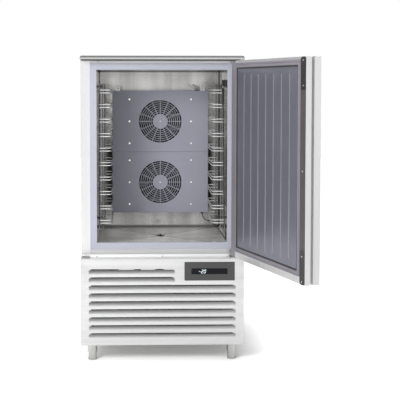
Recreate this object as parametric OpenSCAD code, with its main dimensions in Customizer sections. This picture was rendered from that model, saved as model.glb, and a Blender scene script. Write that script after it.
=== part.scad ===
// Reach-in blast chiller: an insulated cabinet with ten tray levels, a hinged door, two
// evaporator fans behind a screwed baffle, and a machine compartment behind a louvred panel.
// Millimetres, +X to the right, +Y to the back, +Z up. The origin is the centre of the
// underside of the front left foot, and the door stands open as it rests.

/* [Cabinet] */
// Overall width
body_w = 800; // [740:5:900]
// Depth of the body, from the front panel's face to the back
body_d = 815; // [790:5:900]
// Overall height, from the floor to the top of the cover
body_h = 1500; // [1485:5:1700]
// Gauge of the steel sheet
sheet_t = 1.2; // [0.8:0.1:1.6]
// Height of the top cover's lip
cover_h = 18; // [12:1:30]
// Thickness of the insulated side walls
side_wall = 65; // [60:1:75]
// Thickness of the insulated back wall
back_wall = 72.5; // [60:0.5:80]
// Thickness of the insulation under the chamber
floor_wall = 71; // [60:1:90]
// Width of the steel stiles at the front
stile_w = 46; // [40:1:52]
// Height of the steel rail above the frame strips
top_rail_h = 17; // [12:1:30]
// Height of the steel rail below the frame strips
bottom_rail_h = 38; // [34:1:50]
// Width of the plastic frame strips round the opening
strip_w = 32; // [28:1:36]
// Thickness of the frame strips
strip_t = 8; // [7:0.5:12]
// Fall of the chamber floor below the opening's sill
sill_drop = 14; // [10:1:24]
// Fall of the chamber floor from its edges to the drain
floor_fall = 10; // [6:0.5:12]

/* [Door] */
// Thickness of the door
door_t = 70; // [50:1:80]
// Depth of the ledge under the door
ledge_d = 63; // [58:1:75]
// Gap that the gasket fills between the closed door and the cabinet
seal_gap = 5; // [4:0.5:7]
// Gap between the ledge and the door
door_lift = 9; // [8:0.5:12]
// Gap between the door and the cover
door_top_gap = 6; // [1.5:0.5:8]
// Angle at which the door stands open
door_open = 107.3; // [80:0.1:115]
// Hinge pin's distance from the door's edge
pin_inset = 15; // [13:0.5:18]
// Hinge pin's distance behind the door's outer face
pin_set = 26; // [24:0.5:36]
// Diameter of the hinge pins
pin_d = 10; // [8:0.5:12]
// Width of the full-height finger groove in the door's free edge
groove_w = 13; // [9:0.5:16]
// Depth of the finger groove
groove_depth = 20; // [15:1:26]
// Distance of the finger groove from the door's inner face
groove_inset = 26; // [16:1:28]
// Number of pressed ribs on the door liner
rib_count = 7; // [3:1:9]
// Distance between the ribs
rib_pitch = 82; // [50:1:85]
// Height of the ribs
rib_h = 2.5; // [1.5:0.5:3.5]
// Height of the raised field that carries the ribs
field_h = 2; // [1:0.5:2]
// Width of the gasket
gasket_w = 23; // [20:0.5:26]

/* [Racks] */
// Number of tray levels
level_count = 10; // [4:1:10]
// Distance between the tray levels
level_pitch = 72; // [60:1:72]
// Height of the lowest rail above the chamber floor
level_first = 105; // [95:1:110]
// Height of a tray's slot, from wire centre to wire centre
slot_h = 14.5; // [12:0.5:18]
// Diameter of the rail wires
wire_d = 5; // [4:0.5:6]
// Diameter of the upright rods
upright_d = 6; // [5:0.5:8]
// Clear width between the two racks
rack_clear = 495; // [440:5:520]
// Width of a rail, from its inner wire to its ends
rail_w = 59; // [55:1:62]
// Length of the rails, from front to back
rail_l = 345; // [300:5:345]
// Diameter of the pegs that carry the racks
peg_d = 10; // [8:0.5:12]

/* [Fans and evaporator] */
// Distance of the baffle behind the cabinet's front
baffle_set = 424.5; // [420:0.5:440]
// Width of the baffle panels
baffle_w = 510; // [500:2:540]
// Height of one baffle panel
baffle_h = 324; // [300:1:330]
// Height of the gap between the chamber floor and the baffle
baffle_lift = 112; // [100:1:130]
// Radius of the fan grilles
grille_r = 113; // [100:1:120]
// Radius of the grille's closed centre
grille_hub_r = 37; // [30:1:45]
// Number of rings of slots in a grille
grille_rings = 7; // [3:1:8]
// Number of spokes in a grille
grille_spokes = 16; // [8:1:24]
// Width of a spoke
spoke_w = 3.5; // [3:0.5:7]
// Radius of the motors
motor_r = 40; // [34:1:46]
// Length of the motors
motor_l = 48; // [40:1:60]
// Diameter of the fan shafts
shaft_d = 8; // [6:0.5:10]
// Number of blades on a fan
blade_count = 5; // [3:1:7]
// Number of evaporator fins
fin_count = 30; // [10:1:40]
// Diameter of the evaporator tubes
tube_d = 10; // [8:0.5:12]

/* [Machine compartment] */
// Height of the front panel
panel_h = 427; // [415:1:440]
// Number of louvres
louvre_count = 9; // [5:1:9]
// Number of short louvres beside the control panel
louvre_short = 2; // [0:1:3]
// Distance between the louvres
louvre_pitch = 39.5; // [36:0.5:40]
// Height of a louvre
louvre_h = 26; // [18:1:30]
// Depth to which a louvre is pressed in
louvre_depth = 9; // [6:0.5:14]
// Width of the control fascia
fascia_w = 247; // [220:1:255]
// Height of the control fascia
fascia_h = 92; // [80:1:100]
// Thickness of the control fascia
fascia_t = 2; // [1.5:0.5:4]
// Width of the display window
window_w = 177; // [120:1:190]
// Height of the display window
window_h = 28.5; // [20:0.5:40]
// Radius of the compressor's shell
compressor_r = 100; // [85:1:110]
// Height of the compressor's shell
compressor_h = 240; // [200:1:280]

/* [Feet and drain] */
// Height of the feet
foot_h = 83; // [80:1:100]
// Diameter of the foot sleeves
sleeve_d = 47; // [45:1:55]
// Diameter of the adjustable feet
foot_d = 40; // [34:0.5:41]
// Length of foot that shows below its sleeve
foot_show = 39; // [28:1:45]
// Distance of the feet from the sides
foot_inset_x = 55; // [50:1:75]
// Distance of the feet from the front and the back
foot_inset_y = 60; // [50:1:75]
// Outer diameter of the drain pipe
drain_d = 32; // [24:1:40]
// Diameter of the core probe's cable
cable_d = 4.4; // [3.6:0.2:5]

/* [Hidden] */
$fn = 48;
// Clearance between pieces that move past each other
run_gap = 0.3;
// Radial clearance of a pin or shaft in its bore
bore_gap = 0.05;
// Overlap of a wire and the rod that it is welded to
weld = 0.5;

// Planes of the cabinet
x_out = body_w / 2;
y_front = -body_d / 2;
y_back = body_d / 2;
y_body = y_front + ledge_d;
y_in = y_body + strip_t;
z_base = foot_h;
z_ledge = z_base + panel_h;
z_cover = body_h - cover_h;
z_strip0 = z_ledge + bottom_rail_h;
z_strip1 = z_cover - top_rail_h;
z_open0 = z_strip0 + strip_w;
z_open1 = z_strip1 - strip_w;
x_strip = x_out - stile_w;
x_open = x_strip - strip_w;

// Chamber
x_wall = x_out - side_wall;
y_wall = y_back - back_wall;
z_floor = z_open0 - sill_drop;
z_ceiling = z_open1 + 3;
z_under = z_floor - floor_wall;
pan_turn = 10;
drain_y = y_body + baffle_set - 27;

// Door, drawn closed and then turned about its pins
z_door0 = z_ledge + door_lift;
z_door1 = z_cover - door_top_gap;
y_door = y_body - seal_gap;
y_face = y_door - door_t;
pin_x = x_out - pin_inset;
pin_y = y_face + pin_set;
bush_r = pin_d / 2 + 4;
bush_l = 26;
plug_r = 4;
plug_y = y_door - groove_inset - groove_w - sheet_t - plug_r - 1.5;
gasket_out = x_strip - 1;
gasket_z0 = z_strip0 + 1;
gasket_z1 = z_strip1 - 1;
gasket_h = seal_gap - run_gap;
liner_t = 2;
trim_t = 2;

// Racks
y_rail0 = y_in + 36;
y_rail1 = y_rail0 + rail_l;
x_rail = rack_clear / 2 + wire_d / 2;
x_rail_end = x_rail + rail_w;
upright_set = (wire_d + upright_d) / 2 - weld;
x_rod = x_rail_end - upright_d / 2;
rod_gap = 12;
z_rail = z_floor + level_first;
z_rail_top = z_rail + (level_count - 1) * level_pitch + slot_h;
hook_h = 26;
hook_t = 3;
hook_gap = wire_d / 2 + 2;
z_hook_top = z_rail_top + hook_gap;
z_hook_low = z_rail - hook_gap - hook_h;
rack_x = x_rod + upright_d / 2 - weld;
peg_head_r = peg_d / 2 + 1;
peg_set = upright_set + wire_d / 2 + peg_head_r + 0.6;
rack_lift = 18;

// Fans, evaporator and baffle
y_baffle = y_body + baffle_set;
flange = 18;
z_baffle = z_floor + baffle_lift;
z_fan_low = z_baffle + baffle_h / 2;
z_fan_high = z_fan_low + baffle_h + 1;
cowl_r = grille_r + 3;
cowl_l = 50;
arm_t = 3;
y_motor = y_baffle + cowl_l + arm_t;
fan_set = 18;
fan_l = 26;
screw_x = 164;
baffle_screw_r = 6.4;
hub_screw_r = 4;
grille_open = 0.7;
screw_z = 117;
coil_x = baffle_w / 2 - 20;
coil_y0 = y_motor + motor_l + 20;
coil_y1 = y_wall - 12;
coil_z0 = z_baffle + 14;
coil_z1 = z_baffle + 2 * baffle_h - 14;
coil_rows = 3;
coil_ranks = 8;

// Machine compartment
y_panel = y_front + sheet_t;
z_plate = z_base + sheet_t;
louvre_top = z_ledge - 51;
louvre_x = x_out - 39;
fascia_x1 = x_out - 45;
fascia_x0 = fascia_x1 - fascia_w;
fascia_z1 = z_ledge - 17;
fascia_z0 = fascia_z1 - fascia_h;
window_x0 = fascia_x0 + 34;
window_z0 = (fascia_z0 + fascia_z1 - window_h) / 2;
ledge_screw_x = 321;
upstand_h = 12;
condenser_x0 = -x_out + foot_inset_x + 20;
condenser_x1 = 40;
condenser_y0 = y_front + 30;
condenser_y1 = condenser_y0 + 70;
condenser_z1 = z_under - 60;
condenser_fan_x = (condenser_x0 + condenser_x1) / 2;
condenser_fan_z = (z_plate + condenser_z1) / 2;
compressor_x = 175;
compressor_y = 120;
compressor_z = z_plate + 18;
compressor_mount = compressor_r - 18;
terminal_w = 60;
terminal_d = 35;
receiver_x = -110;
receiver_y = 190;
receiver_r = 50;
receiver_h = 230;
pipe_r = 6;
riser_y = y_wall + back_wall / 2;
riser_x = coil_x + 14;
riser_z = z_under - 45;
box_x1 = -x_out + 150;
box_y0 = 190;
box_z0 = z_plate + 120;
box_z1 = z_under - 40;
gland_x = x_out - 120;
gland_z = z_base + 90;

// Feet and drain
foot_x = x_out - foot_inset_x;
foot_y = body_d / 2 - foot_inset_y;
foot_pad_h = 8;
foot_reach = foot_h - 8;
foot_rod_r = 6;
foot_travel = 25;
sleeve_r = foot_d / 2 + run_gap;
drain_wall = 2;
drain_r = drain_d / 2 + 2;
drain_end = z_base - 30;
drain_seat = z_floor - floor_fall;
drain_flange_r = drain_d / 2 + 10;

// Core probe, on the right wall in front of the rack
probe_x = x_rail_end - wire_d / 2 - 5;
probe_y = y_in + 13;
probe_z = z_rail_top + 20.5;
holder_h = 30;
holder_r = 7.2;
holder_gap = 10;
handle_h = 80;
needle_r = 1.75;
needle_l = 80;
cable_end = [225, y_baffle + 10, z_baffle];

// The cable's route from the probe's handle to the gland under the baffle
cable_route = [[301.5, -323.5, 1268], [301.5, -323.5, 1235], [302, -324, 1180], [303, -324, 1060],
    [304, -324, 940], [306, -323.5, 820], [309, -323, 745], [311.5, -322, 690], [314, -319, 650],
    [317, -310, 620], [320, -290, 598], [323, -258, 582], [325.5, -215, 573], [327, -165, 569.4],
    [327.5, -115, 568.4], [327.5, -60, 568.4], [327.5, 0, 568.4], [327.5, 70, 568.4],
    [326, 130, 568.8], [321, 172, 571], [311, 193, 580], [299, 197, 595], [287, 187, 609],
    [276, 165, 618], [264, 137, 624], [249, 111, 631], [236, 95, 643], [227, 90.2, 658],
    [225, 90, 669]];

// Helpers
module in_cabinet() translate([foot_x, foot_y, 0]) children();
module on_door() in_cabinet() translate([pin_x, pin_y, 0]) rotate([0, 0, door_open])
    translate([-pin_x, -pin_y, 0]) children();
module block(x0, x1, y0, y1, z0, z1) translate([x0, y0, z0]) cube([x1 - x0, y1 - y0, z1 - z0]);
module along_x(x0, x1) translate([x0, 0, 0]) rotate([90, 0, 90]) linear_extrude(x1 - x0) children();
module along_y(y0, y1) translate([0, y1, 0]) rotate([90, 0, 0]) linear_extrude(y1 - y0) children();
module along_z(z0, z1) translate([0, 0, z0]) linear_extrude(z1 - z0) children();
module rod_x(x0, x1, y, z, r) translate([x0, y, z]) rotate([0, 90, 0]) cylinder(h = x1 - x0, r = r);
module rod_y(x, y0, y1, z, r) translate([x, y0, z]) rotate([-90, 0, 0]) cylinder(h = y1 - y0, r = r);
module rod_z(x, y, z0, z1, r) translate([x, y, z0]) cylinder(h = z1 - z0, r = r);
module both_sides() { children(); mirror([1, 0, 0]) children(); }
module rounded(x0, x1, y0, y1, r) {
    translate([x0 + r, y0]) square([x1 - x0 - 2 * r, y1 - y0]);
    translate([x0, y0 + r]) square([x1 - x0, y1 - y0 - 2 * r]);
    for (x = [x0 + r, x1 - r], y = [y0 + r, y1 - r]) translate([x, y]) circle(r);
}
module stadium(x0, x1, z0, z1) {
    r = (z1 - z0) / 2;
    translate([x0 + r, z0]) square([x1 - x0 - 2 * r, z1 - z0]);
    for (x = [x0 + r, x1 - r]) translate([x, z0 + r]) circle(r);
}
module steel() color([0.80, 0.81, 0.82]) children();
module bright_steel() color([0.66, 0.67, 0.68]) children();
module dark_plastic() color([0.13, 0.13, 0.14]) children();
module copper() color([0.72, 0.45, 0.30]) children();

// Side panel with its front stile and its back flange folded in
module side_panel() difference() {
    back_flange = 20;
    along_z(z_base, z_cover) polygon([[x_out, y_body], [x_out, y_back],
        [x_out - back_flange, y_back], [x_out - back_flange, y_back - sheet_t],
        [x_out - sheet_t, y_back - sheet_t], [x_out - sheet_t, y_body + sheet_t],
        [x_strip + sheet_t, y_body + sheet_t], [x_strip + sheet_t, y_in],
        [x_strip, y_in], [x_strip, y_body]]);
    block(x_strip - 1, x_out - sheet_t, y_body - 1, y_in + 1, z_base - 1, z_plate);
}
module side_panel_left() steel() in_cabinet() mirror([1, 0, 0]) side_panel();
module side_panel_right() steel() in_cabinet() side_panel();

// Back panel, with vent slots behind the machine compartment
module back_panel() steel() in_cabinet() difference() {
    block(-x_out + sheet_t, x_out - sheet_t, y_back - 2 * sheet_t, y_back - sheet_t, z_base, z_cover);
    vent_w = 90;
    vent_gap = 30;
    vent_x = -x_out + 170;
    for (i = [0:7], k = [0:3]) let (x = vent_x + k * (vent_w + vent_gap))
        along_y(y_back - 3 * sheet_t, y_back)
            stadium(x, x + vent_w, z_under - 60 - i * 22, z_under - 52 - i * 22);
    rod_y(gland_x, y_back - 3 * sheet_t, y_back, gland_z, gland_r);
}
gland_r = 10;

// Roof and underside of the insulated body
module body_plates() steel() in_cabinet() {
    block(-x_out + sheet_t, x_out - sheet_t, y_in, y_back - 2 * sheet_t, z_cover - sheet_t, z_cover);
    difference() {
        block(-x_out + sheet_t, x_out - sheet_t, y_in, y_back - 2 * sheet_t, z_under, z_under + sheet_t);
        drain_hole();
        riser_pipes();
    }
}
module drain_hole() rod_z(0, drain_y, z_base - 1, z_floor + 1, drain_r);

// Top cover, a shallow tray turned down over the front, back and sides
module top_cover() steel() in_cabinet() difference() {
    along_z(z_cover, body_h) rounded(-x_out, x_out, y_front, y_back, 5);
    along_z(z_cover - 1, body_h - sheet_t)
        rounded(-x_out + sheet_t, x_out - sheet_t, y_front + sheet_t, y_back - sheet_t, 4);
}

// Foamed insulation round the chamber
module insulation() color([0.93, 0.87, 0.66]) in_cabinet() {
    y1 = y_back - 2 * sheet_t;
    z0 = z_under + sheet_t;
    z1 = z_cover - sheet_t;
    both_sides() block(x_wall + sheet_t, x_out - sheet_t, y_in, y1, z0, z1);
    difference() {
        block(-x_wall - sheet_t, x_wall + sheet_t, y_wall + sheet_t, y1, z0, z1);
        riser_pipes();
    }
    block(-x_wall - sheet_t, x_wall + sheet_t, y_in, y_wall + sheet_t, z_ceiling + sheet_t, z1);
    difference() {
        block(-x_wall - sheet_t, x_wall + sheet_t, y_in, y_wall + sheet_t, z0, z_floor - sheet_t);
        translate([0, 0, -sheet_t]) pan_fall();
        drain_hole();
        rod_z(0, drain_y, drain_seat - sheet_t, z_floor, drain_flange_r);
    }
}

// Walls, back and ceiling of the chamber
module chamber_liner() bright_steel() in_cabinet() {
    z0 = z_floor - sheet_t;
    both_sides() block(x_wall, x_wall + sheet_t, y_in, y_wall + sheet_t, z0, z_ceiling + sheet_t);
    difference() {
        block(-x_wall, x_wall, y_wall, y_wall + sheet_t, z0, z_ceiling + sheet_t);
        riser_pipes();
    }
    block(-x_wall, x_wall, y_in, y_wall, z_ceiling, z_ceiling + sheet_t);
}

// Chamber floor, a pan with turned up edges and four falls to the drain
module chamber_floor() bright_steel() in_cabinet() difference() {
    union() {
        block(-x_wall, x_wall, y_in, y_wall, z_floor - sheet_t, z_floor);
        translate([0, 0, -sheet_t]) pan_fall();
        both_sides() block(x_wall - sheet_t, x_wall, y_in, y_wall, z_floor, z_floor + pan_turn);
        block(-x_wall, x_wall, y_wall - sheet_t, y_wall, z_floor, z_floor + pan_turn);
    }
    pan_fall();
    rod_z(0, drain_y, drain_seat - 5, z_floor + 1, drain_flange_r);
}
module pan_fall() {
    rim = 14;
    x = x_wall - rim;
    y0 = y_in + rim;
    y1 = y_wall - rim;
    polyhedron([[-x, y0, z_floor], [x, y0, z_floor], [x, y1, z_floor], [-x, y1, z_floor],
        [0, drain_y, drain_seat], [0, drain_y, z_floor + 1]],
        [[0, 1, 4], [1, 2, 4], [2, 3, 4], [3, 0, 4], [1, 0, 5], [2, 1, 5], [3, 2, 5], [0, 3, 5]]);
}

// Four mitred plastic strips between the outer steel and the chamber
module frame_strips() color([0.81, 0.81, 0.86]) in_cabinet() difference() {
    union() {
        along_y(y_body, y_in) polygon([[-x_strip, z_strip0], [x_strip, z_strip0],
            [x_open, z_open0], [-x_open, z_open0]]);
        along_y(y_body, y_in) polygon([[-x_strip, z_strip1], [-x_open, z_open1],
            [x_open, z_open1], [x_strip, z_strip1]]);
        both_sides() along_y(y_body, y_in) polygon([[x_strip, z_strip0 + mitre],
            [x_strip, z_strip1 - mitre], [x_open, z_open1 - mitre], [x_open, z_open0 + mitre]]);
    }
    difference() {
        heater_band(heater_r + 0.2);
        heater_band(-heater_r - 0.2);
    }
}
mitre = 0.4;
heater_r = 2.5;
heater_inset = 9;
module heater_band(grow) {
    x = x_strip - heater_inset + grow;
    z0 = z_strip0 + heater_inset - grow;
    z1 = z_strip1 - heater_inset + grow;
    block(-x, x, y_in - 2 * heater_r - 0.4, y_in + 1, z0, z1);
}

// Heater wire laid in the strips' back, which keeps the gasket from freezing on
module frame_heater() color([0.55, 0.20, 0.16]) in_cabinet() {
    x = x_strip - heater_inset;
    y = y_in - heater_r;
    z0 = z_strip0 + heater_inset;
    z1 = z_strip1 - heater_inset;
    for (z = [z0, z1]) rod_x(-x, x, y, z, heater_r);
    for (s = [-x, x]) rod_z(s, y, z0, z1, heater_r);
    for (s = [-x, x], z = [z0, z1]) translate([s, y, z]) sphere(heater_r);
}

// Steel rails above and below the frame strips
module front_rails() steel() in_cabinet() {
    along_x(-x_strip, x_strip) polygon([[y_body, z_strip1], [y_in, z_strip1],
        [y_in, z_strip1 + sheet_t], [y_body + sheet_t, z_strip1 + sheet_t],
        [y_body + sheet_t, z_cover], [y_body, z_cover]]);
    along_x(-x_strip, x_strip) polygon([[y_body, z_strip0], [y_in, z_strip0],
        [y_in, z_strip0 - sheet_t], [y_body + sheet_t, z_strip0 - sheet_t],
        [y_body + sheet_t, z_under], [y_body, z_under]]);
}

// Base tray of the machine compartment
module machine_base() steel() in_cabinet() difference() {
    union() {
        block(-x_out + sheet_t, x_out - sheet_t, y_panel, y_back - 2 * sheet_t, z_base, z_plate);
        both_sides() block(x_out - 2 * sheet_t - 1, x_out - sheet_t - 1, y_body + 10,
            y_back - 2 * sheet_t - 20, z_plate, z_plate + 25);
    }
    drain_hole();
    for (x = [-foot_x, foot_x], y = [-foot_y, foot_y])
        rod_z(x, y, z_base - 1, z_plate + 1, foot_rod_r + run_gap);
}

// Front panel, folded back to the cabinet at its sides and at its ledge
module front_panel() steel() in_cabinet() difference() {
    union() {
        block(-x_out, x_out, y_front, y_panel, z_base, z_ledge);
        block(-x_out, x_out, y_front, y_body, z_ledge - sheet_t, z_ledge);
        block(-x_out, x_out, y_body - sheet_t, y_body, z_ledge, z_ledge + upstand_h);
        both_sides() block(x_out - sheet_t, x_out, y_front, y_body, z_base, z_ledge);
        louvres(0);
    }
    louvres(sheet_t);
    block(fascia_x0 + 8, fascia_x1 - 8, y_front - 1, y_panel + 1, fascia_z0 + 8, fascia_z1 - 8);
    for (x = [-ledge_screw_x, 0, ledge_screw_x])
        rod_z(x, y_body - screw_set, z_ledge - 3, z_ledge + 1, screw_r);
}
screw_set = 10;
screw_r = 2.5;

// Louvres pressed inwards, deepest at the top, where the mouth is cut. An inset draws their hollow.
module louvres(inset) for (i = [0:louvre_count - 1]) {
    top = louvre_top - i * louvre_pitch + sheet_t - inset;
    low = top - louvre_h - 2 * sheet_t + 2 * inset;
    x0 = -louvre_x - sheet_t + inset;
    x1 = (i < louvre_short ? fascia_x0 - 46 : louvre_x) + sheet_t - inset;
    back = y_front + louvre_depth + sheet_t - inset;
    intersection() {
        along_y(y_front - inset, back) stadium(x0, x1, low, top);
        along_x(x0, x1) polygon([[y_front - inset, low], [y_front - inset, top], [back, top],
            [y_front + sheet_t - inset, low]]);
    }
    if (inset > 0) block(x0 + louvre_h / 2, x1 - louvre_h / 2, y_panel, back, top - 4, top + 3);
}

// Screws: three hold the ledge, twelve hold the baffle panels, two close the grilles' hubs
module panel_screws() bright_steel() in_cabinet() {
    for (x = [-ledge_screw_x, 0, ledge_screw_x]) {
        rod_z(x, y_body - screw_set, z_ledge, z_ledge + 3, 4.5);
        rod_z(x, y_body - screw_set, z_ledge - 12, z_ledge, screw_r);
    }
    for (c = [z_fan_low, z_fan_high], x = [-screw_x, screw_x], z = [-screw_z, 0, screw_z]) {
        rod_y(x, y_baffle - 3, y_baffle, c + z, baffle_screw_r);
        rod_y(x, y_baffle, y_baffle + 12, c + z, screw_r);
    }
    for (c = [z_fan_low, z_fan_high]) {
        rod_y(0, y_baffle - 2, y_baffle, c, hub_screw_r);
        rod_y(0, y_baffle, y_baffle + 6, c, screw_r);
    }
}

// Control fascia on the front panel, with a pocket for the display window
module control_fascia() color([0.33, 0.33, 0.34]) in_cabinet() difference() {
    along_y(y_front - fascia_t, y_front) rounded(fascia_x0, fascia_x1, fascia_z0, fascia_z1, 3);
    along_y(y_front - fascia_t - 1, y_front + 1)
        rounded(window_x0, window_x0 + window_w, window_z0, window_z0 + window_h, 3);
}
module display_window() color([0.03, 0.03, 0.04]) in_cabinet()
    along_y(y_front - fascia_t - 0.2, y_front)
        rounded(window_x0, window_x0 + window_w, window_z0, window_z0 + window_h, 3);
module control_housing() dark_plastic() in_cabinet() {
    x0 = fascia_x0 + 9;
    x1 = fascia_x1 - 9;
    z0 = fascia_z0 + 9;
    z1 = fascia_z1 - 9;
    depth = 45;
    difference() {
        block(x0, x1, y_front, y_front + depth, z0, z1);
        block(x0 + 3, x1 - 3, y_front + 3, y_front + depth - 3, z0 + 3, z1 - 3);
    }
    both_sides_of(x0, x1) block(-4, 4, y_front + depth, y_front + depth + 6, z0 + 10, z1 - 10);
}
module both_sides_of(x0, x1) for (x = [x0 + 12, x1 - 12]) translate([x, 0, 0]) children();

// Foot sleeves under the base tray
module foot_sleeves() bright_steel() in_cabinet()
    for (x = [-foot_x, foot_x], y = [-foot_y, foot_y]) difference() {
        rod_z(x, y, foot_show, z_base, sleeve_d / 2);
        rod_z(x, y, foot_show - 1, z_base - 4, sleeve_r);
        rod_z(x, y, z_base - 5, z_base + 1, foot_rod_r + bore_gap);
    }
// Adjustable foot: a pad, a cup that slides in the sleeve and a threaded rod
module adjustable_foot(x, y) {
    bright_steel() in_cabinet() {
        rod_z(x, y, 0, foot_pad_h, foot_d / 2 + 2);
        rod_z(x, y, foot_pad_h, foot_reach - 4, foot_d / 2);
        rod_z(x, y, foot_reach - 4, z_base + 30, foot_rod_r);
    }
}
module foot_front_left() adjustable_foot(-foot_x, -foot_y);
module foot_front_right() adjustable_foot(foot_x, -foot_y);
module foot_rear_left() adjustable_foot(-foot_x, foot_y);
module foot_rear_right() adjustable_foot(foot_x, foot_y);

// Hinge brackets on the ledge and in the cover
bracket_t = 5;
bracket_l = 54;
bracket_x0 = pin_x - bracket_l;
bracket_y0 = pin_y - bush_r - 3;
module hinge_brackets() bright_steel() in_cabinet() {
    difference() {
        union() {
            block(bracket_x0, x_out - 2, bracket_y0, y_body - sheet_t, z_ledge, z_ledge + bracket_t);
            rod_z(pin_x, pin_y, z_ledge, z_door0 - run_gap, bush_r + 3);
            block(bracket_x0, x_out - 2, y_body - sheet_t - 3, y_body - sheet_t, z_ledge, z_door0 - run_gap);
        }
        rod_z(pin_x, pin_y, z_ledge - 1, z_door0, pin_d / 2);
    }
    difference() {
        block(bracket_x0, x_out - 2, bracket_y0, y_in + 20, z_cover, z_cover + bracket_t);
        rod_z(pin_x, pin_y, z_cover - 1, z_cover + bracket_t + 1, pin_d / 2);
    }
}
module hinge_pins() bright_steel() in_cabinet() {
    rod_z(pin_x, pin_y, z_ledge, z_door0 + bush_l - 4, pin_d / 2);
    rod_z(pin_x, pin_y, z_door1 - bush_l + 4, z_cover + bracket_t, pin_d / 2);
}
// Cap over the spare hinge seat on the left
module blanking_plate() dark_plastic() in_cabinet()
    along_z(z_ledge, z_ledge + 6) rounded(-x_out + 5, -x_out + 42, y_front + 7.5, y_body - sheet_t - 0.5, 3);

// Door switch in the top rail, and the air probe above the baffle
module sensors() dark_plastic() in_cabinet() {
    rod_y(-x_strip + 40, y_body - 1.5, y_body, (z_strip1 + z_cover) / 2, 4);
    brace_z = z_fan_high + baffle_h / 2 + 2.5;
    translate([coil_x - 62, y_baffle + 10, brace_z + 31]) rotate([0, 120, 0]) cylinder(h = 52, r = 3.5);
    block(coil_x - 22, coil_x - 14, y_baffle + 5, y_baffle + 15, brace_z, brace_z + 11);
}

// Door: outline in plan, drawn in by an inset
function door_outline(s) = [
    [x_out - s, y_face + s], [x_out - s, y_door - s], [-x_out + s, y_door - s],
    [-x_out + s, y_door - groove_inset + s], [-x_out + groove_depth + s, y_door - groove_inset + s],
    [-x_out + groove_depth + s, y_door - groove_inset - groove_w - s],
    [-x_out + s, y_door - groove_inset - groove_w - s], [-x_out + s, y_face + s]];
module bush_holes() {
    for (z = [z_door0 - 1, z_door1 - bush_l]) rod_z(pin_x, pin_y, z, z + bush_l + 1, bush_r);
    for (z = [z_door0 - 1, z_door1 - bush_l]) rod_z(-pin_x, plug_y, z, z + bush_l + 1, plug_r);
}
module liner_seat() block(-gasket_out, gasket_out, y_door - liner_t, y_door + 1, gasket_z0, gasket_z1);
module door_skin() steel() on_door() difference() {
    along_z(z_door0, z_door1) polygon(door_outline(0));
    along_z(z_door0 + sheet_t, z_door1 - sheet_t) polygon(door_outline(sheet_t));
    liner_seat();
    bush_holes();
}
module door_core() color([0.93, 0.87, 0.66]) on_door() difference() {
    along_z(z_door0 + sheet_t, z_door1 - sheet_t) polygon(door_outline(sheet_t));
    liner_seat();
    bush_holes();
}
// Inner panel of the door: a raised field inside the gasket, with pressed upright ribs
module door_liner() color([0.38, 0.40, 0.44]) on_door() {
    block(-gasket_out, gasket_out, y_door - liner_t, y_door, gasket_z0, gasket_z1);
    along_y(y_door - liner_t / 2, y_door + field_h) rounded(-x_open, x_open, z_open0, z_open1, 8);
    rib_end = 25;
    y_rib = y_door + field_h;
    for (i = [0:rib_count - 1]) translate([(i - (rib_count - 1) / 2) * rib_pitch, 0, 0])
        along_z(z_open0 + rib_end, z_open1 - rib_end)
            polygon([[-7, y_door], [-7, y_rib], [-4, y_rib + rib_h],
                [4, y_rib + rib_h], [7, y_rib], [7, y_door]]);
}
// Gasket with an outer lip and an inner bulb on a flat base
module door_gasket() color([0.45, 0.44, 0.48]) on_door() {
    gasket_ring(0, gasket_w, gasket_h / 2);
    gasket_ring(0, 7, gasket_h * 0.8);
    gasket_ring(10, gasket_w, gasket_h);
}
module gasket_ring(from, to, high) along_y(y_door, y_door + high) difference() {
    rounded(-gasket_out + from, gasket_out - from, gasket_z0 + from, gasket_z1 - from, 16 - from);
    rounded(-gasket_out + to, gasket_out - to, gasket_z0 + to, gasket_z1 - to, 4);
}
// Dark trim down the inner face of the free edge, and its screws
module grip_trim() dark_plastic() on_door() difference() {
    along_y(y_door, y_door + trim_t) rounded(-x_out, -gasket_out - 1, z_door0, z_door1, 14);
    trim_screw_places() rod_y(0, y_door - 1, y_door + 5, 0, screw_r);
}
module trim_screw_places() for (z = [z_door0 + 14, z_door0 + 120, (z_door0 + z_door1) / 2,
    z_door1 - 120, z_door1 - 14]) translate([(-x_out - gasket_out) / 2, 0, z]) children();
module trim_screws() bright_steel() on_door() trim_screw_places() {
    rod_y(0, y_door + trim_t, y_door + trim_t + 1.5, 0, 4);
    rod_y(0, y_door, y_door + trim_t, 0, screw_r);
}
// Hinge bushes in the door's pin side, and plugs in the spare holes
module door_bushes() dark_plastic() on_door() {
    for (z = [z_door0, z_door1 - bush_l]) difference() {
        rod_z(pin_x, pin_y, z, z + bush_l, bush_r);
        rod_z(pin_x, pin_y, z == z_door0 ? z - 1 : z + 3, z == z_door0 ? z + bush_l - 3 : z + bush_l + 1,
            pin_d / 2 + bore_gap);
    }
    rod_z(-pin_x, plug_y, z_door0, z_door0 + bush_l, plug_r);
    rod_z(-pin_x, plug_y, z_door0 - 1, z_door0, plug_r + 2);
    rod_z(-pin_x, plug_y, z_door1 - bush_l, z_door1, plug_r);
    rod_z(-pin_x, plug_y, z_door1, z_door1 + 1, plug_r + 2);
}

// One side's rail wires: two bent wires a tray level, with the tray's rim between them
module rails() for (k = [0:level_count - 1], z = [0, slot_h])
    translate([0, 0, z_rail + k * level_pitch + z]) rail_wire();
module rail_wire() {
    bend = 14;
    r = wire_d / 2;
    for (y = [y_rail0, y_rail1]) rod_x(x_rail + bend, x_rail_end, y, 0, r);
    rod_y(x_rail, y_rail0 + bend, y_rail1 - bend, 0, r);
    translate([x_rail + bend, y_rail0 + bend, 0]) rotate([0, 0, 180])
        rotate_extrude(angle = 90) translate([bend, 0]) circle(r);
    translate([x_rail + bend, y_rail1 - bend, 0]) rotate([0, 0, 90])
        rotate_extrude(angle = 90) translate([bend, 0]) circle(r);
}
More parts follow.
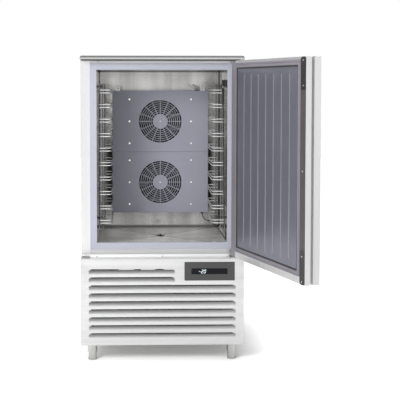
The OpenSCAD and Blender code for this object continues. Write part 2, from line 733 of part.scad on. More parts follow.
// One side's uprights: a pair of rods front and back, with slotted hooks at both ends
module uprights() for (d = [-1, 1]) {
    y = d < 0 ? y_rail0 + upright_set : y_rail1 - upright_set;
    peg_y = y + d * peg_set;
    for (x = [x_rod, x_rod - rod_gap]) rod_z(x, y, z_hook_low, z_hook_top + hook_h, upright_d / 2);
    for (z = [z_hook_low, z_hook_top + hook_h - 3])
        block(x_rod - rod_gap, x_rod, y - 1.5, y + 1.5, z, z + 3);
    for (z = [z_hook_low, z_hook_top]) difference() {
        block(rack_x, rack_x + hook_t, min(y, peg_y) - (d < 0 ? peg_d / 2 + 3 : 0),
            max(y, peg_y) + (d > 0 ? peg_d / 2 + 3 : 0), z, z + hook_h);
        block(rack_x - 1, rack_x + hook_t + 1, peg_y - peg_d / 2 - run_gap,
            peg_y + peg_d / 2 + run_gap, z - 1, z + hook_h / 2);
        rod_x(rack_x - 1, rack_x + hook_t + 1, peg_y, z + hook_h / 2, peg_d / 2 + run_gap);
    }
}
module left_rack_uprights() bright_steel() in_cabinet() mirror([1, 0, 0]) uprights();
module right_rack_uprights() bright_steel() in_cabinet() uprights();
module left_rack_rails() bright_steel() in_cabinet() mirror([1, 0, 0]) rails();
module right_rack_rails() bright_steel() in_cabinet() rails();
// Pegs on the chamber walls, with heads that keep the racks on
module rack_pegs() dark_plastic() in_cabinet() both_sides()
    for (d = [-1, 1], z = [z_hook_low, z_hook_top]) {
        y = (d < 0 ? y_rail0 + upright_set : y_rail1 - upright_set) + d * peg_set;
        rod_x(rack_x - run_gap, x_wall, y, z + hook_h / 2, peg_d / 2);
        rod_x(rack_x - run_gap - 7, rack_x - run_gap, y, z + hook_h / 2, peg_head_r);
    }

// Baffle panel with a slotted fan grille and folded edges
module baffle(zc) difference() {
    z0 = zc - baffle_h / 2;
    z1 = zc + baffle_h / 2;
    x = baffle_w / 2;
    block(-x, x, y_baffle, y_baffle + flange, z0, z1);
    block(-x + sheet_t, x - sheet_t, y_baffle + sheet_t, y_baffle + flange + 1,
        z0 + sheet_t, z1 - sheet_t);
    along_y(y_baffle - 1, y_baffle + sheet_t + 1) translate([0, zc]) grille();
    for (s = [-screw_x, screw_x], z = [-screw_z, 0, screw_z])
        rod_y(s, y_baffle - 1, y_baffle + 5, zc + z, screw_r);
    rod_y(0, y_baffle - 1, y_baffle + 5, zc, screw_r);
}
module grille() {
    pitch = (grille_r - grille_hub_r) / grille_rings;
    slot = pitch * grille_open;
    difference() {
        for (i = [1:grille_rings]) difference() {
            circle(grille_hub_r + i * pitch);
            circle(grille_hub_r + i * pitch - slot);
        }
        for (i = [0:grille_spokes / 2 - 1]) rotate(i * 360 / grille_spokes)
            square([2 * grille_r + 2, spoke_w], center = true);
    }
}
module baffle_upper() color([0.55, 0.57, 0.62]) in_cabinet() baffle(z_fan_high);
module baffle_lower() color([0.55, 0.57, 0.62]) in_cabinet() difference() {
    baffle(z_fan_low);
    rod_z(cable_end[0], cable_end[1], z_baffle - 1, z_baffle + 3, 6);
}

// Fan cowl: a ring with four arms to the motor's seat, drawn about its own axis
module cowl(ring_r, depth) {
    difference() {
        rod_y(0, 0, depth, 0, ring_r + 2);
        rod_y(0, -1, depth + 1, 0, ring_r);
    }
    difference() {
        union() {
            rod_y(0, depth - 4, depth + arm_t, 0, motor_r);
            for (a = [45, 135]) rotate([0, a, 0])
                block(-ring_r - 1, ring_r + 1, depth - 4, depth + arm_t, -8, 8);
        }
        rod_y(0, depth - 5, depth + arm_t + 1, 0, shaft_d);
    }
}
// Motor with a bore for the fan's shaft
module motor() difference() {
    union() {
        rod_y(0, 0, motor_l, 0, motor_r);
        rod_y(0, motor_l, motor_l + 5, 0, motor_r * 0.7);
    }
    rod_y(0, -1, motor_l * 0.6, 0, shaft_d / 2 + bore_gap);
}
// Fan wheel: hub, pitched blades and the shaft that runs in the motor
module fan(blade_r, length, to_motor) {
    hub_r = motor_r * 0.6;
    rod_y(0, 0, length, 0, hub_r);
    rod_y(0, 0, to_motor + motor_l * 0.5, 0, shaft_d / 2);
    for (i = [0:blade_count - 1]) rotate([0, i * 360 / blade_count, 0]) intersection() {
        translate([hub_r - 2, length / 2, 0]) rotate([28, 0, 0])
            translate([0, -1, -28]) cube([blade_r, 2, 56]);
        difference() {
            rod_y(0, 0, length, 0, blade_r);
            rod_y(0, -1, length + 1, 0, hub_r - 1);
        }
    }
}
module fan_cowls() steel() in_cabinet() for (z = [z_fan_low, z_fan_high])
    translate([0, y_baffle + sheet_t, z]) cowl(cowl_r, cowl_l - sheet_t);
module fan_motors() color([0.25, 0.26, 0.28]) in_cabinet() {
    for (z = [z_fan_low, z_fan_high]) translate([0, y_motor, z]) motor();
    translate([condenser_fan_x, condenser_y1 + sheet_t + cowl_l + arm_t, condenser_fan_z]) motor();
}
module fan_upper() dark_plastic() in_cabinet() translate([0, y_baffle + fan_set, z_fan_high])
    fan(cowl_r - 5, fan_l, y_motor - y_baffle - fan_set);
module fan_lower() dark_plastic() in_cabinet() translate([0, y_baffle + fan_set, z_fan_low])
    fan(cowl_r - 5, fan_l, y_motor - y_baffle - fan_set);

// Evaporator: tubes with return bends between end plates, which carry the baffle
module tube_places() for (i = [0:coil_rows - 1], k = [0:coil_ranks - 1])
    translate([coil_y0 + (i + 0.5) * (coil_y1 - coil_y0) / coil_rows,
        coil_z0 + (k + 0.5) * (coil_z1 - coil_z0) / coil_ranks]) children();
module evaporator_coil() bright_steel() in_cabinet() {
    plate_t = 2;
    brace_z = z_fan_high + baffle_h / 2;
    for (i = [0:coil_rows - 1], k = [0:coil_ranks - 1]) {
        y = coil_y0 + (i + 0.5) * (coil_y1 - coil_y0) / coil_rows;
        z = coil_z0 + (k + 0.5) * (coil_z1 - coil_z0) / coil_ranks;
        rod_x(-coil_x, coil_x, y, z, tube_d / 2);
    }
    both_sides() {
        block(coil_x, coil_x + plate_t, y_baffle + flange, y_wall, coil_z0 - 10, coil_z1 + 10);
        block(coil_x - 16, coil_x + plate_t, y_baffle + flange, y_baffle + flange + plate_t,
            coil_z0 - 10, coil_z1 + 10);
        difference() {
            block(coil_x - 22, coil_x + plate_t, y_baffle + 2, y_baffle + flange + plate_t,
                brace_z + 0.5, brace_z + 2.5);
            rod_z(coil_x - 10, y_baffle + 10, brace_z, brace_z + 3, 3);
        }
        difference() {
            block(coil_x - 22, coil_x + plate_t, y_baffle + 2, y_baffle + 4, brace_z + 0.5, brace_z + 24);
            rod_y(coil_x - 10, y_baffle + 1, y_baffle + 5, brace_z + 14, 4);
        }
        block(coil_x, coil_x + plate_t, y_baffle + flange, y_baffle + flange + plate_t,
            coil_z1 + 9, brace_z + 24);
        block(coil_x, coil_x + plate_t, y_baffle + 2, y_baffle + flange + plate_t,
            brace_z + 0.5, brace_z + 24);
    }
}
module evaporator_fins() color([0.75, 0.77, 0.78]) in_cabinet() for (i = [0:fin_count - 1]) {
    x = -coil_x + (i + 1) * 2 * coil_x / (fin_count + 1);
    along_x(x - 0.3, x + 0.3) difference() {
        translate([coil_y0, coil_z0]) square([coil_y1 - coil_y0, coil_z1 - coil_z0]);
        tube_places() circle(tube_d / 2);
    }
}

// Core probe with its handle and needle, in a holder on the right wall
module core_probe() dark_plastic() in_cabinet() {
    z1 = probe_z - holder_gap;
    translate([probe_x, probe_y, z1 - handle_h]) cylinder(h = handle_h, r1 = 4.5, r2 = 7);
    rod_z(probe_x, probe_y, z1, z1 + needle_l, needle_r);
}
module probe_holder() dark_plastic() in_cabinet() difference() {
    union() {
        rod_z(probe_x, probe_y, probe_z, probe_z + holder_h, holder_r);
        block(probe_x, x_wall, probe_y - 3, probe_y + 3, probe_z, probe_z + holder_h);
        block(x_wall - 3, x_wall, probe_y - 9, probe_y + 9, probe_z, probe_z + holder_h);
    }
    rod_z(probe_x, probe_y, probe_z - 1, probe_z + holder_h + 1, needle_r);
}
// Cable of the core probe, swept along its route
cable_sides = 8;
function unit(v) = v / norm(v);
function cable_dir(i) = i == 0 ? unit(cable_route[1] - cable_route[0])
    : i == len(cable_route) - 1 ? unit(cable_route[i] - cable_route[i - 1])
    : unit(unit(cable_route[i + 1] - cable_route[i]) + unit(cable_route[i] - cable_route[i - 1]));
function cable_normals(i = 0, last = [1, 0, 0], out = []) = i == len(cable_route) ? out
    : let (d = cable_dir(i), n = unit(last - (last * d) * d)) cable_normals(i + 1, n, concat(out, [n]));
module probe_cable() dark_plastic() in_cabinet() {
    n = len(cable_route);
    normals = cable_normals();
    points = [for (i = [0:n - 1]) let (d = cable_dir(i), u = normals[i], v = cross(d, u))
        for (k = [0:cable_sides - 1]) let (a = 360 * k / cable_sides)
            cable_route[i] + cable_d / 2 * (cos(a) * u + sin(a) * v)];
    sides = [for (i = [0:n - 2], k = [0:cable_sides - 1]) let (m = (k + 1) % cable_sides)
        [i * cable_sides + k, (i + 1) * cable_sides + k, (i + 1) * cable_sides + m, i * cable_sides + m]];
    ends = [[for (k = [0:cable_sides - 1]) k],
        [for (k = [cable_sides - 1:-1:0]) (n - 1) * cable_sides + k]];
    polyhedron(points, concat(sides, ends));
}

// Drain: a flanged pipe through the floor, and the plug that lifts out of it
module drain_pipe() bright_steel() in_cabinet() difference() {
    union() {
        rod_z(0, drain_y, drain_end, z_base, drain_d / 2);
        rod_z(0, drain_y, z_base, drain_seat, drain_r);
        rod_z(0, drain_y, drain_seat - sheet_t, drain_seat, drain_flange_r);
    }
    rod_z(0, drain_y, drain_end - 1, drain_seat + 1, drain_d / 2 - drain_wall);
}
module drain_plug() dark_plastic() in_cabinet() difference() {
    union() {
        rod_z(0, drain_y, drain_seat + run_gap, drain_seat + 3, drain_d / 2 + 3);
        rod_z(0, drain_y, drain_seat - 14, drain_seat + run_gap, drain_d / 2 - drain_wall - run_gap);
        rod_z(0, drain_y, drain_seat + 3, drain_seat + 9, 4);
    }
    rod_z(0, drain_y, drain_seat - 15, drain_seat - 3, drain_d / 2 - drain_wall - 4);
}

// Compressor with a domed shell, a foot plate and a terminal box, on rubber mounts
module compressor() color([0.10, 0.10, 0.11]) in_cabinet() translate([compressor_x, compressor_y, 0]) {
    dome = 45;
    z0 = compressor_z + 3;
    rotate_extrude() polygon(concat([[0, z0]], [[compressor_r * 0.75, z0]],
        [for (a = [0:15:90]) [compressor_r * (0.75 + 0.25 * sin(a)), z0 + dome * 0.5 * (1 - cos(a))]],
        [for (a = [0:10:90]) [compressor_r * cos(a), z0 + compressor_h - dome + dome * sin(a)]]));
    difference() {
        block(-compressor_mount - 18, compressor_mount + 18, -compressor_mount - 18,
            compressor_mount + 18, compressor_z, compressor_z + 3);
        for (x = [-compressor_mount, compressor_mount], y = [-compressor_mount, compressor_mount])
            rod_z(x, y, compressor_z - 1, compressor_z + 4, 5);
    }
    block(-terminal_w / 2, terminal_w / 2, -compressor_r - terminal_d, -compressor_r + 12,
        z0 + compressor_h / 2 - 30, z0 + compressor_h / 2 + 40);
}
module compressor_mounts() color([0.07, 0.07, 0.07]) in_cabinet() translate([compressor_x, compressor_y, 0])
    for (x = [-compressor_mount, compressor_mount], y = [-compressor_mount, compressor_mount]) {
        rod_z(x, y, z_plate, compressor_z, 14);
        rod_z(x, y, compressor_z, compressor_z + 3, 5);
        rod_z(x, y, compressor_z + 3, compressor_z + 6, 9);
    }

// Condenser: finned tubes in a frame, with a cowl and a fan behind
condenser_fins = 20;
condenser_tubes = 8;
module condenser() color([0.30, 0.31, 0.33]) in_cabinet() {
    frame_t = 3;
    both_ends = [condenser_x0, condenser_x1 - frame_t];
    for (x = both_ends) block(x, x + frame_t, condenser_y0, condenser_y1, z_plate, condenser_z1);
    for (z = [z_plate, condenser_z1 - frame_t])
        block(condenser_x0, condenser_x1, condenser_y0, condenser_y1, z, z + frame_t);
    pitch = (condenser_x1 - condenser_x0) / (condenser_fins + 1);
    for (i = [1:condenser_fins]) block(condenser_x0 + i * pitch - 0.5, condenser_x0 + i * pitch + 0.5,
        condenser_y0 + 2, condenser_y1 - 2, z_plate, condenser_z1);
    rise = (condenser_z1 - z_plate) / condenser_tubes;
    for (k = [0:condenser_tubes - 1]) rod_x(condenser_x0, condenser_x1,
        (condenser_y0 + condenser_y1) / 2, z_plate + (k + 0.5) * rise, tube_d / 2);
}
module condenser_cowl() color([0.30, 0.31, 0.33]) in_cabinet() {
    difference() {
        block(condenser_x0, condenser_x1, condenser_y1, condenser_y1 + sheet_t, z_plate, condenser_z1);
        rod_y(condenser_fan_x, condenser_y1 - 1, condenser_y1 + sheet_t + 1, condenser_fan_z, cowl_r);
    }
    translate([condenser_fan_x, condenser_y1 + sheet_t, condenser_fan_z]) cowl(cowl_r, cowl_l);
}
module condenser_fan() dark_plastic() in_cabinet()
    translate([condenser_fan_x, condenser_y1 + sheet_t + fan_set, condenser_fan_z])
        fan(cowl_r - 5, fan_l, cowl_l + arm_t - fan_set);

// Liquid receiver, an upright tank on a foot ring
module receiver() color([0.12, 0.13, 0.14]) in_cabinet() translate([receiver_x, receiver_y, z_plate]) {
    cylinder(h = 12, r = receiver_r * 0.8);
    rotate_extrude() polygon(concat([[0, 10]],
        [for (a = [0:15:90]) [receiver_r * sin(a), 10 + 20 * (1 - cos(a))]],
        [for (a = [0:15:90]) [receiver_r * cos(a), receiver_h - 20 + 20 * sin(a)]]));
}

// Refrigerant pipes, straight runs joined by swollen elbows
module pipe(points, r) {
    $fn = 24;
    for (i = [0:len(points) - 2]) {
        d = points[i + 1] - points[i];
        translate(points[i]) rotate([0, acos(d[2] / norm(d)), atan2(d[1], d[0])])
            cylinder(h = norm(d), r = r);
    }
    for (i = [1:len(points) - 2]) translate(points[i]) sphere(r * 1.2);
}
// Suction and liquid lines up through the back insulation to the evaporator's right end
row_y = coil_y0 + (coil_rows - 0.5) * (coil_y1 - coil_y0) / coil_rows;
rank_h = (coil_z1 - coil_z0) / coil_ranks;
suction_z = coil_z0 + 0.5 * rank_h;
liquid_z = coil_z0 + 1.5 * rank_h;
liquid_x = riser_x - 26;
suction_path = [[riser_x, riser_y, riser_z], [riser_x, riser_y, suction_z],
    [riser_x, row_y, suction_z], [coil_x - 5, row_y, suction_z]];
liquid_path = [[liquid_x, riser_y, riser_z + 20], [liquid_x, riser_y, liquid_z],
    [riser_x, riser_y, liquid_z], [riser_x, row_y, liquid_z], [coil_x - 5, row_y, liquid_z]];
module riser_pipes() {
    pipe(suction_path, pipe_r);
    pipe(liquid_path, pipe_r);
}
module refrigerant_pipes() copper() in_cabinet() {
    shell_top = compressor_z + 3 + compressor_h;
    mid_y = (condenser_y0 + condenser_y1) / 2;
    tank_top = z_plate + receiver_h;
    pipe(concat([[compressor_x, compressor_y, shell_top - 2],
        [compressor_x, compressor_y, riser_z]], suction_path), pipe_r);
    pipe([[condenser_x1 - 2, mid_y, condenser_z1 - 30], [compressor_x, mid_y, condenser_z1 - 30],
        [compressor_x, mid_y, condenser_z1 - 130],
        [compressor_x, compressor_y - compressor_r + 3, condenser_z1 - 130]], pipe_r);
    pipe([[condenser_x1 - 2, mid_y, z_plate + 40], [condenser_x1 + 20, mid_y, z_plate + 40],
        [condenser_x1 + 20, -40, z_plate + 40], [receiver_x, -40, z_plate + 40],
        [receiver_x, receiver_y - receiver_r + 3, z_plate + 40]], pipe_r * 0.7);
    pipe(concat([[receiver_x, receiver_y, tank_top - 2],
        [receiver_x, receiver_y, riser_z + 20]], liquid_path), pipe_r);
}

// Electrical box on the left side panel
module electrical_box() color([0.45, 0.46, 0.47]) in_cabinet() {
    x0 = -x_out + sheet_t;
    y1 = y_back - 2 * sheet_t - 25;
    difference() {
        block(x0, box_x1, box_y0, y1, box_z0, box_z1);
        block(x0 + 3, box_x1 - 3, box_y0 + 3, y1 - 3, box_z0 + 3, box_z1 - 3);
    }
    block(box_x1, box_x1 + 2, box_y0 - 4, y1 + 4, box_z0 - 4, box_z1 + 4);
}

// Cable glands: the mains inlet in the back, and the probe cable's under the baffle
module cable_glands() dark_plastic() in_cabinet() {
    wire_r = 6;
    y = y_back - sheet_t;
    difference() {
        union() {
            rod_y(gland_x, y - 18, y + 12, gland_z, gland_r);
            rod_y(gland_x, y, y + 7, gland_z, gland_r + 4);
            rod_y(gland_x, y - sheet_t - 6, y - sheet_t, gland_z, gland_r + 4);
        }
        rod_y(gland_x, y - 19, y + 13, gland_z, wire_r);
    }
    difference() {
        union() {
            rod_z(cable_end[0], cable_end[1], z_baffle - 9, z_baffle + 9, 6);
            rod_z(cable_end[0], cable_end[1], z_baffle - 7, z_baffle, 8);
        }
        rod_z(cable_end[0], cable_end[1], z_baffle - 9 - 1, z_baffle - 9 + 0.6, cable_d / 2 + 0.1);
    }
}

side_panel_left();
side_panel_right();
back_panel();
body_plates();
top_cover();
insulation();
chamber_liner();
chamber_floor();
frame_strips();
frame_heater();
front_rails();
machine_base();
front_panel();
panel_screws();
control_fascia();
display_window();
control_housing();
foot_sleeves();
foot_front_left();
foot_front_right();
foot_rear_left();
foot_rear_right();
hinge_brackets();
hinge_pins();
blanking_plate();
sensors();
door_skin();
door_core();
door_liner();
door_gasket();
grip_trim();
trim_screws();
door_bushes();
left_rack_uprights();
left_rack_rails();
right_rack_uprights();
right_rack_rails();
rack_pegs();
baffle_upper();
baffle_lower();
fan_cowls();
fan_motors();
fan_upper();
fan_lower();
evaporator_coil();
evaporator_fins();
core_probe();
probe_holder();
probe_cable();
drain_pipe();
drain_plug();
compressor();
compressor_mounts();
condenser();
condenser_cowl();
condenser_fan();
receiver();
refrigerant_pipes();
electrical_box();
cable_glands();
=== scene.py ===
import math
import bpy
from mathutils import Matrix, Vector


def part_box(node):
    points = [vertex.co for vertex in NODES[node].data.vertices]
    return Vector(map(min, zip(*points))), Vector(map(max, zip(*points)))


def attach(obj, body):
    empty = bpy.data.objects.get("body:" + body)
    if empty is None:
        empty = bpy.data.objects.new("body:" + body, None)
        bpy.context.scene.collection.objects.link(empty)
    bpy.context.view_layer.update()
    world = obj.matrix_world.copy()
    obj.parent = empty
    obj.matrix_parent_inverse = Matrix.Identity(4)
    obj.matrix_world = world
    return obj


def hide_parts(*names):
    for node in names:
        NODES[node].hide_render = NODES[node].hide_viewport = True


bl_info = {
    "name": "Blast chiller dressing",
    "version": (1, 0, 0),
    "blender": (4, 5, 0),
    "location": "3D View > Sidebar > Blast chiller",
    "description": "Gives the packed blast chiller its steels, plastics, seal, display, probe cable and studio",
    "category": "Object",
}

import bmesh
import bpy
from bpy.props import FloatProperty, FloatVectorProperty, IntProperty, PointerProperty, StringProperty
from mathutils import Matrix, Vector

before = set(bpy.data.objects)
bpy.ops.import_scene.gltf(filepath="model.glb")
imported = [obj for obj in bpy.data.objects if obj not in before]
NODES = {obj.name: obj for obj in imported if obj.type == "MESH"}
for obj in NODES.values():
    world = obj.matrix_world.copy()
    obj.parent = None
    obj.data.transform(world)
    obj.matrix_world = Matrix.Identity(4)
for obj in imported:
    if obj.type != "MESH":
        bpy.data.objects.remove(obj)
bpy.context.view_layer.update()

# The cabinet's own frame has X from its middle, Y from its middle depth and Z from the floor.
CABINET_ORIGIN = Vector((0.345, 0.3475, 0.0))
DOOR_PIN = Vector((0.385, -0.3935, 0.0))
DOOR_OPEN = math.radians(107.3)


def at(x, y, z):
    """A point of the cabinet, in millimetres, as a point of the row frame, in metres."""
    return CABINET_ORIGIN + Vector((x, y, z)) * 0.001


def door_matrix():
    """Takes a point of the closed door, in metres in the cabinet's frame, to where it rests open."""
    return (Matrix.Translation(CABINET_ORIGIN) @ Matrix.Translation(DOOR_PIN)
            @ Matrix.Rotation(DOOR_OPEN, 4, "Z") @ Matrix.Translation(-DOOR_PIN))


def colour_property(name, description, default):
    return FloatVectorProperty(name=name, description=description, default=default, size=3,
                               min=0, max=1, subtype="COLOR")


def length_property(name, description, default):
    return FloatProperty(name=name, description=description, default=default, min=0,
                         subtype="DISTANCE", unit="LENGTH")


class FinishSettings(bpy.types.PropertyGroup):
    outer_steel: colour_property("Outer steel", "Brushed steel of the cabinet and door", (0.69, 0.69, 0.69))
    panel_steel: colour_property("Panel steel", "Brushed steel of the front panel and cover", (0.64, 0.64, 0.64))
    chamber_steel: colour_property("Chamber steel", "Smoother steel inside the chamber", (0.42, 0.415, 0.405))
    slate: colour_property("Slate", "Coating of the baffles and of the door's inner panel", (0.245, 0.25, 0.295))
    strip: colour_property("Frame strips", "Plastic strips round the opening", (0.315, 0.322, 0.375))
    seal: colour_property("Seal", "Rubber of the door seal", (0.15, 0.14, 0.16))
    trim: colour_property("Trim", "Plastic trim down the door's free edge", (0.052, 0.047, 0.046))
    wire: colour_property("Wire", "Polished wire of the racks", (0.74, 0.74, 0.73))
    fascia: colour_property("Fascia", "Plastic plate round the display", (0.046, 0.046, 0.046))
    grain_depth: length_property("Grain depth", "Depth of the brushed grain", 0.00002)


class PanelSettings(bpy.types.PropertyGroup):
    louvre_depth: length_property("Louvre depth", "Depth of a louvre at its mouth", 0.0088)
    mouth: length_property("Mouth", "Height of a louvre's open mouth", 0.0046)
    fold: length_property("Fold", "Outer radius of the panel's folds", 0.0024)


class SealSettings(bpy.types.PropertyGroup):
    corner: length_property("Corner radius", "Radius of the seal's outer corners", 0.016)
    width: length_property("Width", "Width of the seal's base", 0.023)
    # The dark of the gap is a black strip of painted shade.
    gap: length_property("Gap", "Width of the dark gap between the seal and the inner panel's field", 0.0055)


class DisplaySettings(bpy.types.PropertyGroup):
    reading: StringProperty(name="Reading", description="Characters shown, from minus, point and digits", default="-20")
    height: length_property("Digit height", "Height of a digit", 0.0165)
    lean: FloatProperty(name="Lean", description="Slant of the digits", default=math.radians(8), subtype="ANGLE")
    glow: colour_property("Glow", "Colour of the lit segments", (0.86, 0.95, 1.0))


class ProbeSettings(bpy.types.PropertyGroup):
    cable_thickness: length_property("Cable thickness", "Diameter of the probe's cable", 0.0044)
    boot_length: length_property("Boot length", "Length of the boot where the cable leaves the handle", 0.026)
    steps: IntProperty(name="Steps", description="Points between two of the route's marks", default=6, min=2, max=12)


class StudioSettings(bpy.types.PropertyGroup):
    floor: colour_property("Floor", "Colour of the studio floor", (0.90, 0.90, 0.90))
    lift: FloatProperty(name="Lift", description="How much paler the floor shows away from the cabinet", default=0.42,
                        min=0)
    key: FloatProperty(name="Key", description="Power of the large front light", default=160, min=0, subtype="POWER")
    side: FloatProperty(name="Side", description="Power of the two side lights", default=22, min=0, subtype="POWER")
    ambient: FloatProperty(name="Ambient", description="Strength of the surrounding light", default=1.0, min=0)


class ChillerSettings(bpy.types.PropertyGroup):
    finish: PointerProperty(type=FinishSettings)
    panel: PointerProperty(type=PanelSettings)
    seal: PointerProperty(type=SealSettings)
    display: PointerProperty(type=DisplaySettings)
    probe: PointerProperty(type=ProbeSettings)
    studio: PointerProperty(type=StudioSettings)


# Node trees


class Tree:
    """A node tree that is built from left to right."""

    def __init__(self, tree):
        self.tree = tree
        self.column = 0

    def add(self, kind, inputs=(), **values):
        """Adds a node with its properties, and feeds its first inputs in order."""
        node = self.tree.nodes.new(kind)
        node.location = (self.column, -40 * (self.column // 200 % 3))
        self.column += 200
        for key, value in values.items():
            setattr(node, key, value)
        for socket, value in zip(node.inputs, inputs):
            self.feed(socket, value)
        return node

    def find(self, kind):
        return next(n for n in self.tree.nodes if n.type == kind)

    def feed(self, socket, value):
        """Links a socket to an output, or sets its value."""
        if isinstance(value, bpy.types.NodeSocket):
            self.tree.links.new(value, socket)
        else:
            socket.default_value = value

    def fill(self, node, **values):
        """Feeds a node's inputs by their names, with _ for a space."""
        for name, value in values.items():
            self.feed(node.inputs[name.replace("_", " ")], value)
        return node

    def math(self, operation, a, b=0, clamp=False):
        return self.add("ShaderNodeMath", (a, b), operation=operation, use_clamp=clamp).outputs[0]

    def times(self, a, b):
        return self.math("MULTIPLY", a, b)

    def plus(self, a, b, clamp=False):
        return self.math("ADD", a, b, clamp)

    def minus(self, a, b):
        return self.math("SUBTRACT", a, b)

    def larger(self, a, b):
        return self.math("MAXIMUM", a, b)

    def apart(self, a, b=0):
        return self.math("ABSOLUTE", self.minus(a, b))

    def ramp(self, value, low, high):
        """Rises smoothly from 0 at low to 1 at high."""
        node = self.add("ShaderNodeMapRange", (value, low, high), clamp=True, interpolation_type="SMOOTHSTEP")
        return node.outputs["Result"]

    def fade(self, value, low, high):
        return self.minus(1, self.ramp(value, low, high))

    def blend(self, factor, a, b):
        node = self.add("ShaderNodeMix", (factor,), data_type="RGBA", blend_type="MIX")
        self.feed(node.inputs[6], a)
        self.feed(node.inputs[7], b)
        return node.outputs[2]

    def place(self, kind="Object"):
        """The piece's own coordinates, or another kind."""
        return self.add("ShaderNodeTexCoord").outputs[kind]

    def parts(self, vector):
        """The X, Y and Z of a vector."""
        return self.add("ShaderNodeSeparateXYZ", (vector,)).outputs

    def on_cabinet(self):
        """How far a point lies from the cabinet's middle sideways, how deep, and how high."""
        x, y, z = self.parts(self.place())
        return self.apart(x, CABINET_ORIGIN.x), self.minus(y, CABINET_ORIGIN.y), z

    def even(self, value):
        return self.add("ShaderNodeCombineXYZ", (value, value, value)).outputs[0]

    def noise(self, stretch, detail, rough=0.5):
        """Noise over the piece's own coordinates, drawn out by a vector of counts per metre."""
        scaled = self.add("ShaderNodeVectorMath", (self.place(), stretch), operation="MULTIPLY").outputs[0]
        node = self.add("ShaderNodeTexNoise")
        return self.fill(node, Vector=scaled, Scale=1, Detail=detail, Roughness=rough).outputs["Fac"]


def brushed(tree, given):
    """Fine lines along one direction, and the broad bands that a belt leaves."""
    return tree.noise(given["Lines"], 4, 0.65), tree.ramp(tree.noise(given["Bands"], 3), 0.3, 0.7)


def handled(tree, given):
    """Where hands, cloths and water have left their marks."""
    low = tree.minus(0.8, tree.times(given["Cover"], 0.4))
    wide = tree.noise(tree.even(given["Size"]), 5, 0.6)
    mark = tree.add("ShaderNodeMapRange", (wide, low, 0.85), clamp=True).outputs["Result"]
    return mark, tree.ramp(tree.noise((160, 160, 160), 3), 0.62, 0.74)


def moulded(tree, given):
    """The fine texture of a mould or of a paint coat."""
    return tree.noise(tree.even(given["Per metre"]), 2), tree.noise((5, 5, 5), 3)


def settled(tree, given):
    """Dust that settles on faces that look up."""
    normal = tree.add("ShaderNodeNewGeometry").outputs["Normal"]
    up = tree.ramp(tree.parts(normal)["Z"], 0.2, 1.0)
    patches = tree.ramp(tree.noise((60, 60, 60), 4), 0.3, 0.7)
    return (tree.times(tree.times(up, patches), given["Amount"]),)


# Each shared effect: its builder, its inputs with their defaults, and its outputs
EFFECTS = {
    "Brushed grain": (brushed, {"Lines": (900, 900, 9), "Bands": (26, 26, 0.8)}, ("Grain", "Band")),
    "Handling marks": (handled, {"Size": 7, "Cover": 0.5}, ("Mark", "Speck")),
    "Moulded texture": (moulded, {"Per metre": 900}, ("Height", "Drift")),
    "Settled dust": (settled, {"Amount": 0.5}, ("Dust",)),
}
GROUPS = {}


def new_group(name):
    build, inputs, outputs = EFFECTS[name]
    group = bpy.data.node_groups.new(name, "ShaderNodeTree")
    for label, default in inputs.items():
        kind = "NodeSocketVector" if isinstance(default, tuple) else "NodeSocketFloat"
        socket = group.interface.new_socket(label, in_out="INPUT", socket_type=kind)
        socket.default_value = default
    for label in outputs:
        group.interface.new_socket(label, in_out="OUTPUT", socket_type="NodeSocketFloat")
    tree = Tree(group)
    results = build(tree, tree.add("NodeGroupInput").outputs)
    tree.add("NodeGroupOutput", results)
    return group


def effect(tree, name, **values):
    """Places a shared effect in a material with its own values, and gives back its outputs."""
    if name not in GROUPS:
        GROUPS[name] = new_group(name)
    return tree.fill(tree.add("ShaderNodeGroup", node_tree=GROUPS[name]), **values).outputs


def tint(colour, factor):
    return (*(min(1, c * factor) for c in colour), 1)


def grey(value):
    return (value, value, value, 1)


def finish_colour(colour, share):
    """A share of a colour, or of the colour in the setting of that name."""
    if isinstance(colour, str):
        colour = getattr(bpy.context.scene.blast_chiller.finish, colour)
    return tint(colour, share)[:3]


def new_material(name):
    material = bpy.data.materials.new(name)
    material.use_nodes = True
    tree = Tree(material.node_tree)
    tree.column = -1400
    return material, tree, tree.find("BSDF_PRINCIPLED")


def bump(tree, height, depth, strength=1.0):
    node = tree.add("ShaderNodeBump")
    return tree.fill(node, Height=height, Distance=depth, Strength=strength).outputs["Normal"]


def brushed_steel(name, colour, share, rough, direction="Z", grain=1, marks=0.4, spread=0.08, metal=1, swing=0.06,
                  broad=26, unlit=None):
    """Steel with grain along X, Y or Z, a share of the set depth deep, and belt bands of a contrast and a count per
    metre. The mask of unlit darkens it towards near black, as painted shade."""
    material, tree, shader = new_material(name)
    colour = finish_colour(colour, share)
    lines = [9 if axis == direction else 900 for axis in "XYZ"]
    bands = [broad * 0.03 if axis == direction else broad for axis in "XYZ"]
    belt = effect(tree, "Brushed grain", Lines=lines, Bands=bands)
    hands = effect(tree, "Handling marks", Size=6, Cover=marks)
    shade = tree.blend(belt["Band"], tint(colour, 1 - swing), tint(colour, 1 + swing))
    shade = tree.blend(tree.times(hands["Mark"], 0.25), shade, tint(colour, 0.8))
    # Painted shade: where the mask of unlit rises, the colour goes to near black.
    if unlit:
        shade = tree.blend(unlit(tree), shade, (0.03, 0.029, 0.028, 1))
    fine = tree.times(tree.minus(belt["Grain"], 0.5), 2 * spread)
    value = tree.plus(tree.plus(fine, tree.times(hands["Mark"], 0.12)), rough, True)
    depth = grain * bpy.context.scene.blast_chiller.finish.grain_depth
    tree.fill(shader, Base_Color=shade, Metallic=metal, Roughness=value, Normal=bump(tree, belt["Grain"], depth, 0.6))
    return material


